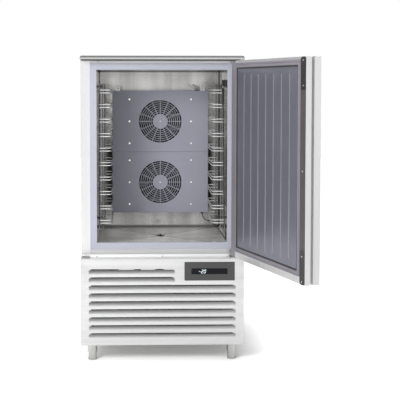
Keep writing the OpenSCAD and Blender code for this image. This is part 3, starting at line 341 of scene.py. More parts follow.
def chamber_painted_shade(tree):
    """Painted shade: darker in the corners where the chamber's sheets meet, along its front edge, at the foot of its
    back wall, and on the wall behind the fans and beside the lower baffle, where no light reaches.
    """
    across, depth, z = tree.on_cabinet()
    side = tree.ramp(across, 0.326, 0.332)
    back = tree.ramp(depth, 0.316, 0.331)
    top = tree.ramp(z, 1.427, 1.433)
    corner_shade = tree.plus(tree.times(side, back), tree.times(top, tree.plus(side, back)))
    corner_shade = tree.plus(tree.times(corner_shade, 0.75), tree.times(tree.fade(depth, -0.336, -0.30), 0.5))
    corner_shade = tree.plus(corner_shade, tree.times(tree.fade(z, 0.567, 0.575), tree.times(back, 0.7)))
    # Painted shade on the wall behind the grilles, and beside the lower baffle's sides.
    grilles = tree.times(tree.fade(across, 0.225, 0.25), tree.minus(tree.ramp(z, 0.68, 0.71), tree.ramp(z, 1.29, 1.32)))
    low = tree.times(tree.fade(across, 0.28, 0.312), tree.minus(tree.ramp(z, 0.66, 0.70), tree.ramp(z, 0.98, 1.12)))
    behind = tree.times(tree.larger(grilles, low), tree.ramp(depth, 0.15, 0.3))
    return tree.plus(corner_shade, behind, True)


def pan_crease_shade(tree):
    """Painted shade along the four folds that run from the pan's corners to its drain, and along its rear edge."""
    across, depth, _ = tree.on_cabinet()
    depth = tree.minus(depth, 0.053)
    rear = tree.minus(tree.times(depth, 0.765), tree.times(across, 0.644))
    fore = tree.plus(tree.times(depth, 0.653), tree.times(across, 0.758))
    fold = tree.fade(tree.math("MINIMUM", tree.apart(rear), tree.apart(fore)), 0.001, 0.007)
    return tree.plus(tree.times(fold, 0.6), tree.times(tree.ramp(depth, 0.262, 0.280), 0.8), True)


def coated(name, colour, share, rough, texture, depth, marks, dust=0, metal=0, drift=0.12):
    """Plastic, rubber or paint with a moulded or sprayed surface, its depth in micrometres."""
    material, tree, shader = new_material(name)
    colour = finish_colour(colour, share)
    skin = effect(tree, "Moulded texture", Per_metre=texture)
    hands = effect(tree, "Handling marks", Size=9, Cover=marks)
    shade = tree.blend(skin["Drift"], tint(colour, 1 - drift), tint(colour, 1 + drift))
    shade = tree.blend(tree.times(hands["Speck"], 0.12), shade, tint(colour, 1.35))
    value = tree.plus(tree.times(hands["Mark"], 0.14), rough, True)
    if dust:
        layer = effect(tree, "Settled dust", Amount=dust)["Dust"]
        shade = tree.blend(layer, shade, (0.42, 0.41, 0.39, 1))
        value = tree.plus(value, tree.times(layer, 0.3), True)
    tree.fill(shader, Base_Color=shade, Metallic=metal, Roughness=value,
              Normal=bump(tree, skin["Height"], depth * 1e-6, 0.5))
    return material


def gloss_black(name):
    """The smoked window over the display."""
    material, tree, shader = new_material(name)
    mark = effect(tree, "Handling marks", Size=18, Cover=0.6)["Mark"]
    tree.fill(shader, Base_Color=tree.blend(mark, (0.006, 0.006, 0.008, 1), (0.016, 0.016, 0.018, 1)),
              Roughness=tree.plus(tree.times(mark, 0.2), 0.12, True), Specular_IOR_Level=0.1)
    return material


def foam(name):
    """Blown foam with its cells."""
    material, tree, shader = new_material(name)
    cells = tree.fill(tree.add("ShaderNodeTexVoronoi"), Vector=tree.place(), Scale=700).outputs["Distance"]
    tree.fill(shader, Base_Color=tree.blend(cells, (0.80, 0.70, 0.42, 1), (0.62, 0.50, 0.26, 1)), Roughness=0.9,
              Normal=bump(tree, cells, 0.0004))
    return material


def lit(name):
    """The lit segments, in the display's glow."""
    material, tree, shader = new_material(name)
    glow = bpy.context.scene.blast_chiller.display.glow
    skin = effect(tree, "Moulded texture", Per_metre=500)["Height"]
    tree.fill(shader, Emission_Color=tree.blend(skin, tint(glow, 0.92), tint(glow, 1)), Emission_Strength=1.3,
              Base_Color=(0.02, 0.02, 0.02, 1), Roughness=0.4)
    return material


# Each maker's finishes: the colour or the setting that holds it, the share of that colour that is taken, the
# roughness, and what else the maker takes, in its order
FINISHES = {
    brushed_steel: {
        "Outer steel": ("outer_steel", 1, 0.34, "Z", 1, 0.4, 0.08, 0.8, 0.03),
        "Side steel": ("outer_steel", 1, 0.36, "Z", 1, 0.4, 0.08, 0.8, 0.03),
        "Panel steel": ("panel_steel", 1, 0.36, "X"),
        "Ledge steel": ("panel_steel", 1.15, 0.5, "X", 1, 0.2, 0.08, 0.2),
        "Cover steel": ("panel_steel", 0.85, 0.26, "X"),
        "Rail steel": ("outer_steel", 0.74, 0.34, "X"),
        # Painted shade: the chamber steel's mask darkens its corners, its front edge and the wall behind the fans.
        "Chamber steel": ("chamber_steel", 1, 0.15, "Z", 0.15, 0.9, 0.03, 1, 0.25, 9, chamber_painted_shade),
        # Painted sheen: the floor pan takes 2.3 times the chamber steel's colour, a lighter copy of the same steel, and
        # its mask adds painted shade along its creases and rear edge.
        "Floor pan steel": ("chamber_steel", 2.3, 0.24, "X", 0.3, 0.4, 0.06, 0.6, 0.05, 9, pan_crease_shade),
        "Foot steel": ((0.46, 0.46, 0.45), 1, 0.10, "Z", 0.5, 0.5, 0.02),
        "Rack upright": ("wire", 0.3, 0.22, "Z", 0.5, 0.3, 0.04),
        "Polished wire": ("wire", 1, 0.26, "Y", 0.5, 0.3, 0.04, 0.7),
        "Screw steel": ((0.80, 0.80, 0.80), 1, 0.25, "X", 0.5, 0.3, 0.05),
        "Bracket steel": ((0.42, 0.42, 0.42), 1, 0.38, "Y", 1.5, 0.6),
        "Plain sheet steel": ((0.55, 0.55, 0.54), 1, 0.42, "X", 1.5, 0.7),
        "Drawn copper": ((0.62, 0.28, 0.16), 1, 0.34, "Z", 1, 0.9, 0.06),
    },
    coated: {
        "Slate coat": ("slate", 1, 0.36, 900, 20, 0.5, 0, 0.25, 0.05),
        "Door slate coat": ("slate", 0.72, 0.30, 900, 20, 0.5, 0, 0.6, 0.06),
        "Strip plastic": ("strip", 1, 0.38, 500, 20, 0.3, 0, 0, 0.03),
        "Seal rubber": ("seal", 1, 0.52, 1500, 30, 0.6, 0, 0, 0.10),
        "Hinge side flange coat": ("seal", 0.95, 0.40, 900, 20, 0.5),
        "Trim plastic": ("trim", 1, 0.42, 1100, 40, 0.5),
        "Trim end plastic": ("trim", 0.35, 0.42, 1100, 40, 0.5),
        "Fascia plastic": ("fascia", 1, 0.40, 1300, 30, 0.5, 0, 0.2),
        "Dark plastic": ((0.014, 0.014, 0.015), 1, 0.42, 1100, 40, 0.5, 0.15),
        "Fan plastic": ((0.006, 0.006, 0.006), 1, 0.5, 900, 30, 0.3),
        "Sensor plastic": ((0.30, 0.30, 0.31), 1, 0.35, 1100, 40, 0.5),
        "Cable rubber": ((0.012, 0.012, 0.013), 1, 0.45, 1800, 20, 0.4),
        "Black rubber": ((0.018, 0.018, 0.018), 1, 0.65, 800, 60, 0.6, 0.25),
        # Near black of the strips that are painted shade: under the cover's lip and in the gap beside the door seal.
        "Sealant": ((0.03, 0.03, 0.03), 1, 0.5, 900, 30, 0.4),
        "Heater sleeve": ((0.26, 0.035, 0.025), 1, 0.5, 900, 30, 0.4),
        "Coated fins": ((0.012, 0.012, 0.013), 1, 0.5, 700, 30, 0.4),
        "Black paint": ((0.016, 0.016, 0.017), 1, 0.35, 260, 80, 0.5, 0.25),
        "Grey paint": ((0.085, 0.09, 0.10), 1, 0.42, 260, 80, 0.5, 0.35),
    },
    gloss_black: {"Display window": ()},
    foam: {"Foam": ()},
    lit: {"Lit segments": ()},
}
MATERIALS = {}


def material_of(finish):
    """The material of that name, made on first use from the panel's settings."""
    for maker, finishes in FINISHES.items():
        if finish in finishes and finish not in MATERIALS:
            MATERIALS[finish] = maker(finish, *finishes[finish])
    return MATERIALS[finish]


# Meshes


def new_object(name, data):
    thing = bpy.data.objects.new(name, data)
    bpy.context.scene.collection.objects.link(thing)
    return thing


def new_piece(name, bm, finish, body, replaces=(), angle=32):
    """Makes a smooth object of a bmesh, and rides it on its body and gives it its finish."""
    mesh = bpy.data.meshes.new(name)
    bm.to_mesh(mesh)
    bm.free()
    for polygon in mesh.polygons:
        polygon.use_smooth = True
    mesh.set_sharp_from_angle(angle=math.radians(angle))
    piece = new_object(name, mesh)
    mesh.materials.append(material_of(finish))
    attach(piece, body)
    if replaces:
        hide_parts(*replaces)
    return piece


def arc(start, sweep, steps):
    """The angles from a start, in degrees, through a sweep."""
    return [math.radians(start + sweep * k / steps) for k in range(steps + 1)]


def outward(bm):
    bmesh.ops.recalc_face_normals(bm, faces=bm.faces)


def circle(bm, place, radius, height, turns):
    return [bm.verts.new(place @ Vector((radius * math.cos(a), radius * math.sin(a), height)))
            for a in (2 * math.pi * k / turns for k in range(turns))]


def turned(name, profile, turns, foot, finish, replaces=()):
    """Spins a list of (radius, height) about Z at a place. A radius of 0 closes an end."""
    bm = bmesh.new()
    place = Matrix.Translation(foot)
    rings = [circle(bm, place, radius, height, turns if radius else 1) for radius, height in profile]
    for low, high in zip(rings, rings[1:]):
        for k in range(turns):
            m = (k + 1) % turns
            corners = (low[k % len(low)], low[m % len(low)], high[m % len(high)], high[k % len(high)])
            unique = list(dict.fromkeys(corners))
            if len(unique) > 2:
                bm.faces.new(unique)
    outward(bm)
    return new_piece(name, bm, finish, "cabinet", replaces)


def bridge(bm, loops, closed=True):
    """Joins loops of equally many vertices with quads, and leaves out what has no area."""
    for a, b in zip(loops, loops[1:]):
        count = len(a)
        for k in range(count if closed else count - 1):
            m = (k + 1) % count
            corners = []
            for corner in (a[k], a[m], b[m], b[k]):
                if all((corner.co - other.co).length > 1e-7 for other in corners):
                    corners.append(corner)
            if len(corners) > 2:
                bm.faces.new(corners)


def rounded_loop(bm, x0, x1, y0, y1, z, radius, turn=5):
    """A level rectangle with rounded corners, in millimetres of the cabinet's frame."""
    loop = []
    for cx, cy, start in ((x1 - radius, y1 - radius, 0), (x0 + radius, y1 - radius, 90),
                          (x0 + radius, y0 + radius, 180), (x1 - radius, y0 + radius, 270)):
        loop += [bm.verts.new(at(cx + radius * math.cos(a), cy + radius * math.sin(a), z))
                 for a in arc(start, 90, turn)]
    return loop


def cut(piece, place, normal):
    """Parts the faces of a piece along a plane, so that its finish can change there."""
    bm = bmesh.new()
    bm.from_mesh(piece.data)
    bmesh.ops.bisect_plane(bm, geom=bm.verts[:] + bm.edges[:] + bm.faces[:], plane_co=place, plane_no=normal)
    bm.to_mesh(piece.data)
    bm.free()


def second_finish(piece, finish, chosen):
    """Gives the faces whose middle, in the cabinet's frame, is chosen another finish."""
    piece.data.materials.append(material_of(finish))
    for polygon in piece.data.polygons:
        if chosen(polygon.center - CABINET_ORIGIN):
            polygon.material_index = 1


def modify(piece, name, kind, **values):
    modifier = piece.modifiers.new(name, kind)
    for key, value in values.items():
        setattr(modifier, key, value)


def softened(node, name, width, finish, body="cabinet", segments=2):
    """A CAD shell with its folds and edges rounded by the width of a real bend or burr."""
    bm = bmesh.new()
    bm.from_mesh(NODES[node].data)
    bmesh.ops.remove_doubles(bm, verts=bm.verts, dist=1e-6)
    bmesh.ops.dissolve_limit(bm, angle_limit=math.radians(0.4), verts=bm.verts, edges=bm.edges)
    piece = new_piece(name, bm, finish, body, [node])
    modify(piece, "Rounded edges", "BEVEL", width=width, segments=segments, limit_method="ANGLE",
           angle_limit=math.radians(35), use_clamp_overlap=True, harden_normals=True)
    return piece


def finish_nodes(finish, *names):
    """Gives carried-over CAD nodes their material."""
    for name in names:
        if not NODES[name].material_slots:
            NODES[name].data.materials.append(material_of(finish))
        for slot in NODES[name].material_slots:
            slot.material = material_of(finish)


class CHILLER_OT_stage(bpy.types.Operator):
    """Sets the camera of the photograph, the lights and the floor"""
    bl_idname = "chiller.stage"
    bl_label = "Stage"

    def execute(self, context):
        studio = context.scene.blast_chiller.studio
        self.camera(context)
        self.floor(studio)
        self.lights(context, studio)
        context.scene.view_settings.view_transform = "Standard"
        return {"FINISHED"}

    def camera(self, context):
        data = bpy.data.cameras.new("Camera")
        camera = new_object("Camera", data)
        data.sensor_width = 36
        data.lens = 92.07
        data.shift_x = 0.075
        data.shift_y = -0.15
        data.clip_end = 60
        pitch, yaw, roll = (math.radians(turn) for turn in (3.02, 1.769, 0.026))
        forward = Vector((math.sin(yaw) * math.cos(pitch), math.cos(yaw) * math.cos(pitch), -math.sin(pitch)))
        level = Vector((math.cos(yaw), -math.sin(yaw), 0))
        up = level.cross(forward)
        right = level * math.cos(roll) + up * math.sin(roll)
        top = right.cross(forward)
        camera.matrix_world = Matrix.Translation(at(-116.5, -5371.7, 1353.0)) @ Matrix(
            (right, top, -forward)).transposed().to_4x4()
        context.scene.camera = camera

    def floor(self, studio):
        bm = bmesh.new()
        bmesh.ops.create_grid(bm, x_segments=1, y_segments=1, size=14)
        mesh = bpy.data.meshes.new("Studio floor")
        bm.to_mesh(mesh)
        bm.free()
        floor = new_object("Studio_floor", mesh)
        floor.location.z = -0.0005
        material, tree, shader = new_material("Studio floor")
        paper = tree.blend(tree.noise((3, 3, 3), 2), tint(studio.floor, 0.99), tint(studio.floor, 1))
        tree.fill(shader, Base_Color=paper, Roughness=0.9, Specular_IOR_Level=0.1)
        # Painted light: for camera rays, and at 0.4 for mirror rays, the floor glows, a little near the cabinet and in
        # front of it, and more beside it, behind it and far in front, so that shadows cast there turn white and the
        # shade under the cabinet stays.
        path = tree.add("ShaderNodeLightPath").outputs
        mirrored = tree.larger(path["Is Glossy Ray"], path["Is Transmission Ray"])
        seen = tree.larger(path["Is Camera Ray"], tree.times(mirrored, 0.4))
        aside, along, _ = tree.on_cabinet()
        away = tree.times(tree.ramp(aside, 0.38, 0.58), tree.ramp(along, -1.3, -0.5))
        away = tree.larger(away, tree.ramp(along, 0.42, 0.75))
        away = tree.larger(away, tree.fade(along, -4.0, -2.4))
        away = tree.plus(tree.times(away, studio.lift), 0.14)
        glow = tree.fill(tree.add("ShaderNodeEmission"), Strength=tree.times(seen, away))
        both = tree.add("ShaderNodeAddShader", (shader.outputs[0], glow.outputs[0]))
        tree.fill(tree.find("OUTPUT_MATERIAL"), Surface=both.outputs[0])
        mesh.materials.append(material)

    def lights(self, context, studio):
        world = bpy.data.worlds.new("Studio")
        context.scene.world = world
        world.use_nodes = True
        tree = Tree(world.node_tree)
        x, y, z = tree.parts(tree.place("Generated"))
        path = tree.add("ShaderNodeLightPath").outputs
        walls = tree.blend(tree.ramp(z, -0.6, 0.0), grey(0.6), grey(1.3))
        walls = tree.blend(tree.ramp(z, 0.12, 0.5), walls, (0.14, 0.14, 0.145, 1))
        walls = tree.blend(tree.ramp(z, 0.80, 0.97), walls, grey(0.8))
        walls = tree.blend(tree.ramp(y, -0.15, 0.45), walls, grey(0.22))
        soft = tree.blend(tree.ramp(x, -0.7, 0.7), grey(0.85), grey(0.42))
        around = tree.fill(tree.find("BACKGROUND"), Strength=studio.ambient,
                           Color=tree.blend(path["Is Glossy Ray"], soft, walls))
        white = tree.fill(tree.add("ShaderNodeBackground"), Color=grey(1), Strength=1)
        mix = tree.add("ShaderNodeMixShader", (path["Is Camera Ray"], around.outputs[0], white.outputs[0]))
        tree.fill(tree.find("OUTPUT_WORLD"), Surface=mix.outputs[0])
        for name, power, size, place, target in (
                ("Key", studio.key, 1.3, at(-2000, -3300, 2300), at(0, 0, 900)),
                ("Top", studio.side * 1.5, 3.0, at(0, -700, 3600), at(0, -200, 0)),
                ("Right", studio.side * 0.4, 1.8, at(3200, -1500, 1900), at(200, 0, 900))):
            data = bpy.data.lights.new(name, "AREA")
            data.energy = power
            data.size = size
            light = new_object(name, data)
            light.location = place
            light.rotation_mode = "QUATERNION"
            light.rotation_quaternion = (target - place).to_track_quat("-Z", "Y")
            light.visible_glossy = False


class CHILLER_OT_probe_cable(bpy.types.Operator):
    """Runs the core probe's cable from its handle to the gland under the baffle"""
    bl_idname = "chiller.probe_cable"
    bl_label = "Probe cable"

    ROUTE = [(301.5, -323.5, 1263), (301.5, -323.5, 1235), (302, -324, 1180), (303, -324, 1060),
             (304, -324, 940), (306, -323.5, 820), (309, -323, 745), (311.5, -322, 690), (314, -319, 650),
             (317, -310, 620), (320, -290, 598), (323, -258, 582), (325.5, -215, 573), (327, -165, 569.4),
             (327.5, -115, 568.4), (327.5, -60, 568.4), (327.5, 0, 568.4), (327.5, 70, 568.4),
             (326, 130, 568.8), (321, 172, 571), (311, 193, 580), (299, 197, 595), (287, 187, 609),
             (276, 165, 618), (264, 137, 624), (249, 111, 631), (236, 95, 643), (227, 90.2, 658),
             (225, 90, 669)]

    def execute(self, context):
        probe = context.scene.blast_chiller.probe
        marks = [at(*p) for p in self.ROUTE]
        marks = [marks[0] * 2 - marks[1], *marks, marks[-1] * 2 - marks[-2]]
        line = [0.5 * (2 * b + (c - a) * t + (2 * a - 5 * b + 4 * c - d) * t * t + (3 * b - a - 3 * c + d) * t ** 3)
                for a, b, c, d in zip(marks, marks[1:], marks[2:], marks[3:])
                for t in (k / probe.steps for k in range(probe.steps))]
        line.append(marks[-2])
        curve = bpy.data.curves.new("Probe cable", "CURVE")
        curve.dimensions = "3D"
        curve.bevel_depth = probe.cable_thickness / 2
        curve.bevel_resolution = 4
        curve.use_fill_caps = True
        spline = curve.splines.new("POLY")
        spline.points.add(len(line) - 1)
        for point, place in zip(spline.points, line):
            point.co = (*place, 1)
        spline.use_smooth = True
        cable = new_object("Probe_cable", curve)
        curve.materials.append(material_of("Cable rubber"))
        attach(cable, "cabinet")
        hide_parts("probe_cable")
        boot = self.boot(probe, line)
        return {"FINISHED"}

    def boot(self, probe, line):
        """The ribbed boot that keeps the cable from kinking at the handle."""
        radius = probe.cable_thickness / 2
        profile = [(0, 0.003)]
        ribs = 6
        for i in range(ribs):
            top = 0.003 - probe.boot_length * i / ribs
            low = top - probe.boot_length / ribs * 0.6
            wide = radius + 0.0022 - 0.0016 * i / ribs
            profile += [(wide, top), (wide, low), (wide - 0.0007, low), (wide - 0.0007, low - 0.0012)]
        profile += [(radius + 0.0002, 0.003 - probe.boot_length), (0, 0.003 - probe.boot_length)]
        return turned("Probe_cable_boot", profile, 24, line[0], "Cable rubber")


class CHILLER_OT_core_probe(bpy.types.Operator):
    """Turns the core probe's grooved handle and its needle"""
    bl_idname = "chiller.core_probe"
    bl_label = "Core probe"

    def execute(self, context):
        low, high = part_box("core_probe")
        foot = Vector(((low.x + high.x) / 2, (low.y + high.y) / 2, low.z))
        profile = [(0, 0), (0.0036, 0), (0.0045, 0.001)]
        for i in range(9):
            z = 0.008 + i * 0.0052
            wide = 0.0045 + 0.0023 * z / 0.08
            profile += [(wide, z), (wide, z + 0.0030), (wide - 0.0007, z + 0.0034), (wide - 0.0007, z + 0.0048)]
        profile += [(0.0060, 0.056), (0.0066, 0.062), (0.0069, 0.074), (0.0062, 0.079), (0.0035, 0.080), (0, 0.080)]
        handle = turned("Core_probe_handle", profile, 32, foot, "Dark plastic", ["core_probe"])
        top = high.z - low.z
        profile = [(0, 0.078), (0.00175, 0.078), (0.00175, top - 0.008), (0.0006, top), (0, top)]
        needle = turned("Core_probe_needle", profile, 20, foot, "Screw steel")
        needle.parent = handle
        return {"FINISHED"}


class CHILLER_OT_cabinet_shells(bpy.types.Operator):
    """Rounds the folds of the cabinet's outer sheets"""
    bl_idname = "chiller.cabinet_shells"
    bl_label = "Cabinet shells"

    def execute(self, context):
        for node, name, width, finish, slot in (
                ("side_panel_left", "Left_side_panel", 0.0008, "Side steel", "outer_steel"),
                ("side_panel_right", "Right_side_panel", 0.0008, "Side steel", "outer_steel"),
                ("baffle_upper", "Upper_baffle", 0.0007, "Slate coat", "slate_steel"),
                ("baffle_lower", "Lower_baffle", 0.0007, "Slate coat", "slate_steel"),
                ("front_rails", "Front_rails_folded", 0.0010, "Rail steel", "outer_steel"),
                ("control_fascia", "Control_fascia_plate", 0.0006, "Fascia plastic", "grey_plastic"),
                ("blanking_plate", "Hinge_blanking_cap", 0.0012, "Bracket steel", "grey_plastic")):
            softened(node, name, width, finish)
        return {"FINISHED"}


class CHILLER_OT_top_cover(bpy.types.Operator):
    """Folds the top cover with its rolled upper edge"""
    bl_idname = "chiller.top_cover"
    bl_label = "Top cover"

    def execute(self, context):
        low, high = (v - CABINET_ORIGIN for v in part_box("top_cover"))
        x, y, z0, z1 = high.x * 1000, high.y * 1000, low.z * 1000, high.z * 1000
        sheet = 1.2
        roll = 10.0
        inner = roll - sheet
        bm = bmesh.new()
        rings = [(roll - inner * math.cos(a), z1 - roll + inner * math.sin(a)) for a in arc(90, -90, 7)]
        rings += [(sheet, z0 + 0.4), (0.4, z0), (0.0, z0 + 0.5)]
        rings += [(roll - roll * math.cos(a), z1 - roll + roll * math.sin(a)) for a in arc(0, 90, 7)]
        loops = [rounded_loop(bm, -x + i, x - i, -y + i, y - i, z, max(6 - i, 0.6)) for i, z in rings]
        bridge(bm, loops)
        bm.faces.new(loops[0][::-1])
        bm.faces.new(loops[-1])
        outward(bm)
        new_piece("Top_cover_shell", bm, "Cover steel", "cabinet", ["top_cover"])
        self.joint_seal(x, z0)
        return {"FINISHED"}

    def joint_seal(self, x, top):
        """A dark lipped strip in the joint between the cover and the cabinet's front, painted shade for the shadow
        under the cover's lip.
        """
        bm = bmesh.new()
        profile = [(-344.6, top - 0.2), (-346.4, top - 0.2), (-347.0, top - 1.2), (-346.8, top - 3.4),
                   (-346.2, top - 4.6), (-345.4, top - 5.2), (-344.6, top - 5.3)]
        rows = [[bm.verts.new(at(px, y, z)) for y, z in profile] for px in (-x + 1, x - 1)]
        bridge(bm, rows)
        for row in rows:
            bm.faces.new(row)
        outward(bm)
        new_piece("Cover_joint_seal", bm, "Sealant", "cabinet")


class CHILLER_OT_front_panel(bpy.types.Operator):
    """Folds the front panel and presses its louvres, deepest at their mouths"""
    bl_idname = "chiller.front_panel"
    bl_label = "Front panel"

    # In millimetres of the cabinet's frame: the panel's face, and the fascia's opening in it in X and Z
    FACE = -407.5
    OPENING = (116, 347, 409, 485)
    # How far the rings of a louvre lie within its outline
    INSETS = (0, 0.8, 2, 4.5, 7, 10, 13)
    # The outline of each louvre in X and Z, from the top down, and half its height, the radius of its ends. The
    # first two stop short of the fascia.
    RADIUS = 13
    LOUVRES = [(-361, 62 if i < 2 else 361, 433 - 39.5 * i, 459 - 39.5 * i) for i in range(9)]

    def execute(self, context):
        panel = context.scene.blast_chiller.panel
        x, body, z0, ledge, fold = 400, -344.5, 83, 510, panel.fold * 1000
        bm = bmesh.new()
        edges = []
        for x0, x1, low, high in ((-x + fold, x - fold, z0, ledge - fold), self.OPENING):
            edges += self.ring_edges(bm, [bm.verts.new(at(px, self.FACE, z)) for px, z in (
                (x0, low), (x1, low), (x1, high), (x0, high))])
        for outline in self.LOUVRES:
            edges += self.louvre(bm, *outline, panel.louvre_depth * 1000, panel.mouth * 1000)
        flat = bmesh.ops.triangle_fill(bm, edges=edges, use_beauty=True)
        self.clear_holes(bm, flat["geom"])
        quarter = arc(0, 90, 4)
        profile = [(self.FACE + fold * (1 - math.cos(a)), ledge - fold + fold * math.sin(a)) for a in quarter]
        stand = body - 1.2
        profile += [(stand - fold + fold * math.sin(a), ledge + fold * (1 - math.cos(a))) for a in quarter]
        profile.append((stand, ledge + 12))
        self.extrude(bm, [[(px, y, z) for y, z in profile] for px in (-x + fold, x - fold)])
        for side in (-1, 1):
            turn = [(side * (x - fold + fold * math.sin(a)), self.FACE + fold * (1 - math.cos(a))) for a in quarter]
            turn.append((side * x, body))
            self.extrude(bm, [[(px, y, z) for px, y in turn] for z in (z0, ledge - fold)])
        bmesh.ops.remove_doubles(bm, verts=bm.verts, dist=1e-6)
        outward(bm)
        front = max((f for f in bm.faces if abs(f.normal.y) > 0.99), key=bmesh.types.BMFace.calc_area)
        if front.normal.y > 0:
            bmesh.ops.reverse_faces(bm, faces=bm.faces)
        piece = new_piece("Front_panel_sheet", bm, "Panel steel", "cabinet", ["front_panel"], 50)
        second_finish(piece, "Ledge steel", lambda c: c.z * 1000 > ledge - 0.5)
        modify(piece, "Sheet", "SOLIDIFY", thickness=0.0012, offset=-1)
        modify(piece, "Even faces", "WEIGHTED_NORMAL", keep_sharp=True)
        return {"FINISHED"}

    def ring_edges(self, bm, loop):
        return [bm.edges.get(pair) or bm.edges.new(pair) for pair in zip(loop, loop[1:] + loop[:1])]

    def extrude(self, bm, rows):
        bridge(bm, [[bm.verts.new(at(*p)) for p in row] for row in rows], closed=False)

    def louvre(self, bm, x0, x1, z0, z1, depth, mouth):
        """Presses one louvre in, and gives back the edges of its outline in the panel's face."""
        radius = self.RADIUS
        loops = []
        for inset in self.INSETS:
            r = radius - inset
            loop = []
            for cx, start in ((x1 - radius, -90), (x0 + radius, 90)):
                for angle in arc(start, 180, 10):
                    z = (z0 + z1) / 2 + r * math.sin(angle)
                    rise = (z - z0) / (z1 - z0)
                    wall = min(1, inset / 2.2)
                    deep = depth * rise ** 1.5 * wall * wall * (3 - 2 * wall)
                    loop.append(bm.verts.new(at(cx + r * math.cos(angle), self.FACE + deep, z)))
            loops.append(loop)
        bridge(bm, loops)
        low = at(0, 0, z1 - mouth).z - 1e-6
        straight = (x1 - x0 - 2 * radius) * 0.001
        open_faces = {f for loop in loops for v in loop for f in v.link_faces
                      if all(w.co.z > low for w in f.verts)
                      and max(w.co.x for w in f.verts) - min(w.co.x for w in f.verts) > straight * 0.9}
        bmesh.ops.delete(bm, geom=list(open_faces), context="FACES_ONLY")
        return self.ring_edges(bm, loops[0])

    def clear_holes(self, bm, geometry):
        """Takes out what the fill laid over the louvres and over the fascia's opening."""
        over = set()
        for face in geometry:
            if isinstance(face, bmesh.types.BMFace):
                c = (face.calc_center_median() - CABINET_ORIGIN) * 1000
                for (x0, x1, z0, z1), r in ((self.OPENING, 0), *((outline, self.RADIUS) for outline in self.LOUVRES)):
                    aside = max(x0 + r - c.x, c.x - x1 + r, 0)
                    if math.hypot(aside, max(z0 + r - c.z, c.z - z1 + r, 0)) <= max(r - 0.01, 0):
                        over.add(face)
        bmesh.ops.delete(bm, geom=list(over), context="FACES_ONLY")


class CHILLER_OT_cabinet_finishes(bpy.types.Operator):
    """Gives the cabinet's carried-over pieces their materials"""
    bl_idname = "chiller.cabinet_finishes"
    bl_label = "Cabinet finishes"

    NODES_OF = {
        "Outer steel": "back_panel",
        "Plain sheet steel": "body_plates machine_base evaporator_coil",
        "Strip plastic": "frame_strips",
        "Heater sleeve": "frame_heater",
        "Foam": "insulation",
        "Chamber steel": "chamber_liner drain_pipe",
        "Floor pan steel": "chamber_floor",
        "Foot steel": "foot_sleeves foot_front_left foot_front_right foot_rear_left foot_rear_right",
        "Bracket steel": "hinge_brackets",
        "Screw steel": "hinge_pins panel_screws",
        "Display window": "display_window",
        "Sensor plastic": "sensors",
        "Dark plastic": "control_housing rack_pegs probe_holder drain_plug cable_glands",
        "Fan plastic": "fan_upper fan_lower condenser_fan fan_cowls fan_motors",
        "Black paint": "compressor receiver",
        "Grey paint": "condenser condenser_cowl electrical_box",
        "Coated fins": "evaporator_fins",
        "Drawn copper": "refrigerant_pipes",
        "Black rubber": "compressor_mounts",
        "Polished wire": "left_rack_rails right_rack_rails",
        "Rack upright": "left_rack_uprights right_rack_uprights",
    }

    def execute(self, context):
        for finish, nodes in self.NODES_OF.items():
            finish_nodes(finish, *nodes.split())
        return {"FINISHED"}


class CHILLER_OT_door(bpy.types.Operator):
    """Rounds the door's tray and gives its pieces their materials"""
    bl_idname = "chiller.door"
    bl_label = "Door"

    # On the closed door, in metres of the cabinet's frame
    FLANGE_X = 0.3530
    FLANGE_Y = -0.3505
    TRIM_ENDS = (0.666, 1.337)

    def execute(self, context):
        opened = door_matrix()
        closed = opened.inverted()

        def on_flange(centre):
            place = closed @ (centre + CABINET_ORIGIN)
            return place.x > self.FLANGE_X and place.y > self.FLANGE_Y

        skin = softened("door_skin", "Door_shell", 0.0010, "Outer steel", "door")
        cut(skin, opened @ Vector((self.FLANGE_X, 0, 0)), opened.to_3x3() @ Vector((1, 0, 0)))
        # The skin's flange on the hinge side takes a finish near the seal's dark colour instead of the steel.
        second_finish(skin, "Hinge side flange coat", on_flange)
        trim = softened("grip_trim", "Free_edge_trim", 0.0008, "Trim plastic", "door")
        low, high = self.TRIM_ENDS
        for z in self.TRIM_ENDS:
            cut(trim, (0, 0, z), (0, 0, 1))
        second_finish(trim, "Trim end plastic", lambda centre: not low < centre.z < high)
        softened("door_liner", "Door_inner_panel", 0.0012, "Door slate coat", "door", 3)
        finish_nodes("Foam", "door_core")
        finish_nodes("Dark plastic", "door_bushes")
        return {"FINISHED"}


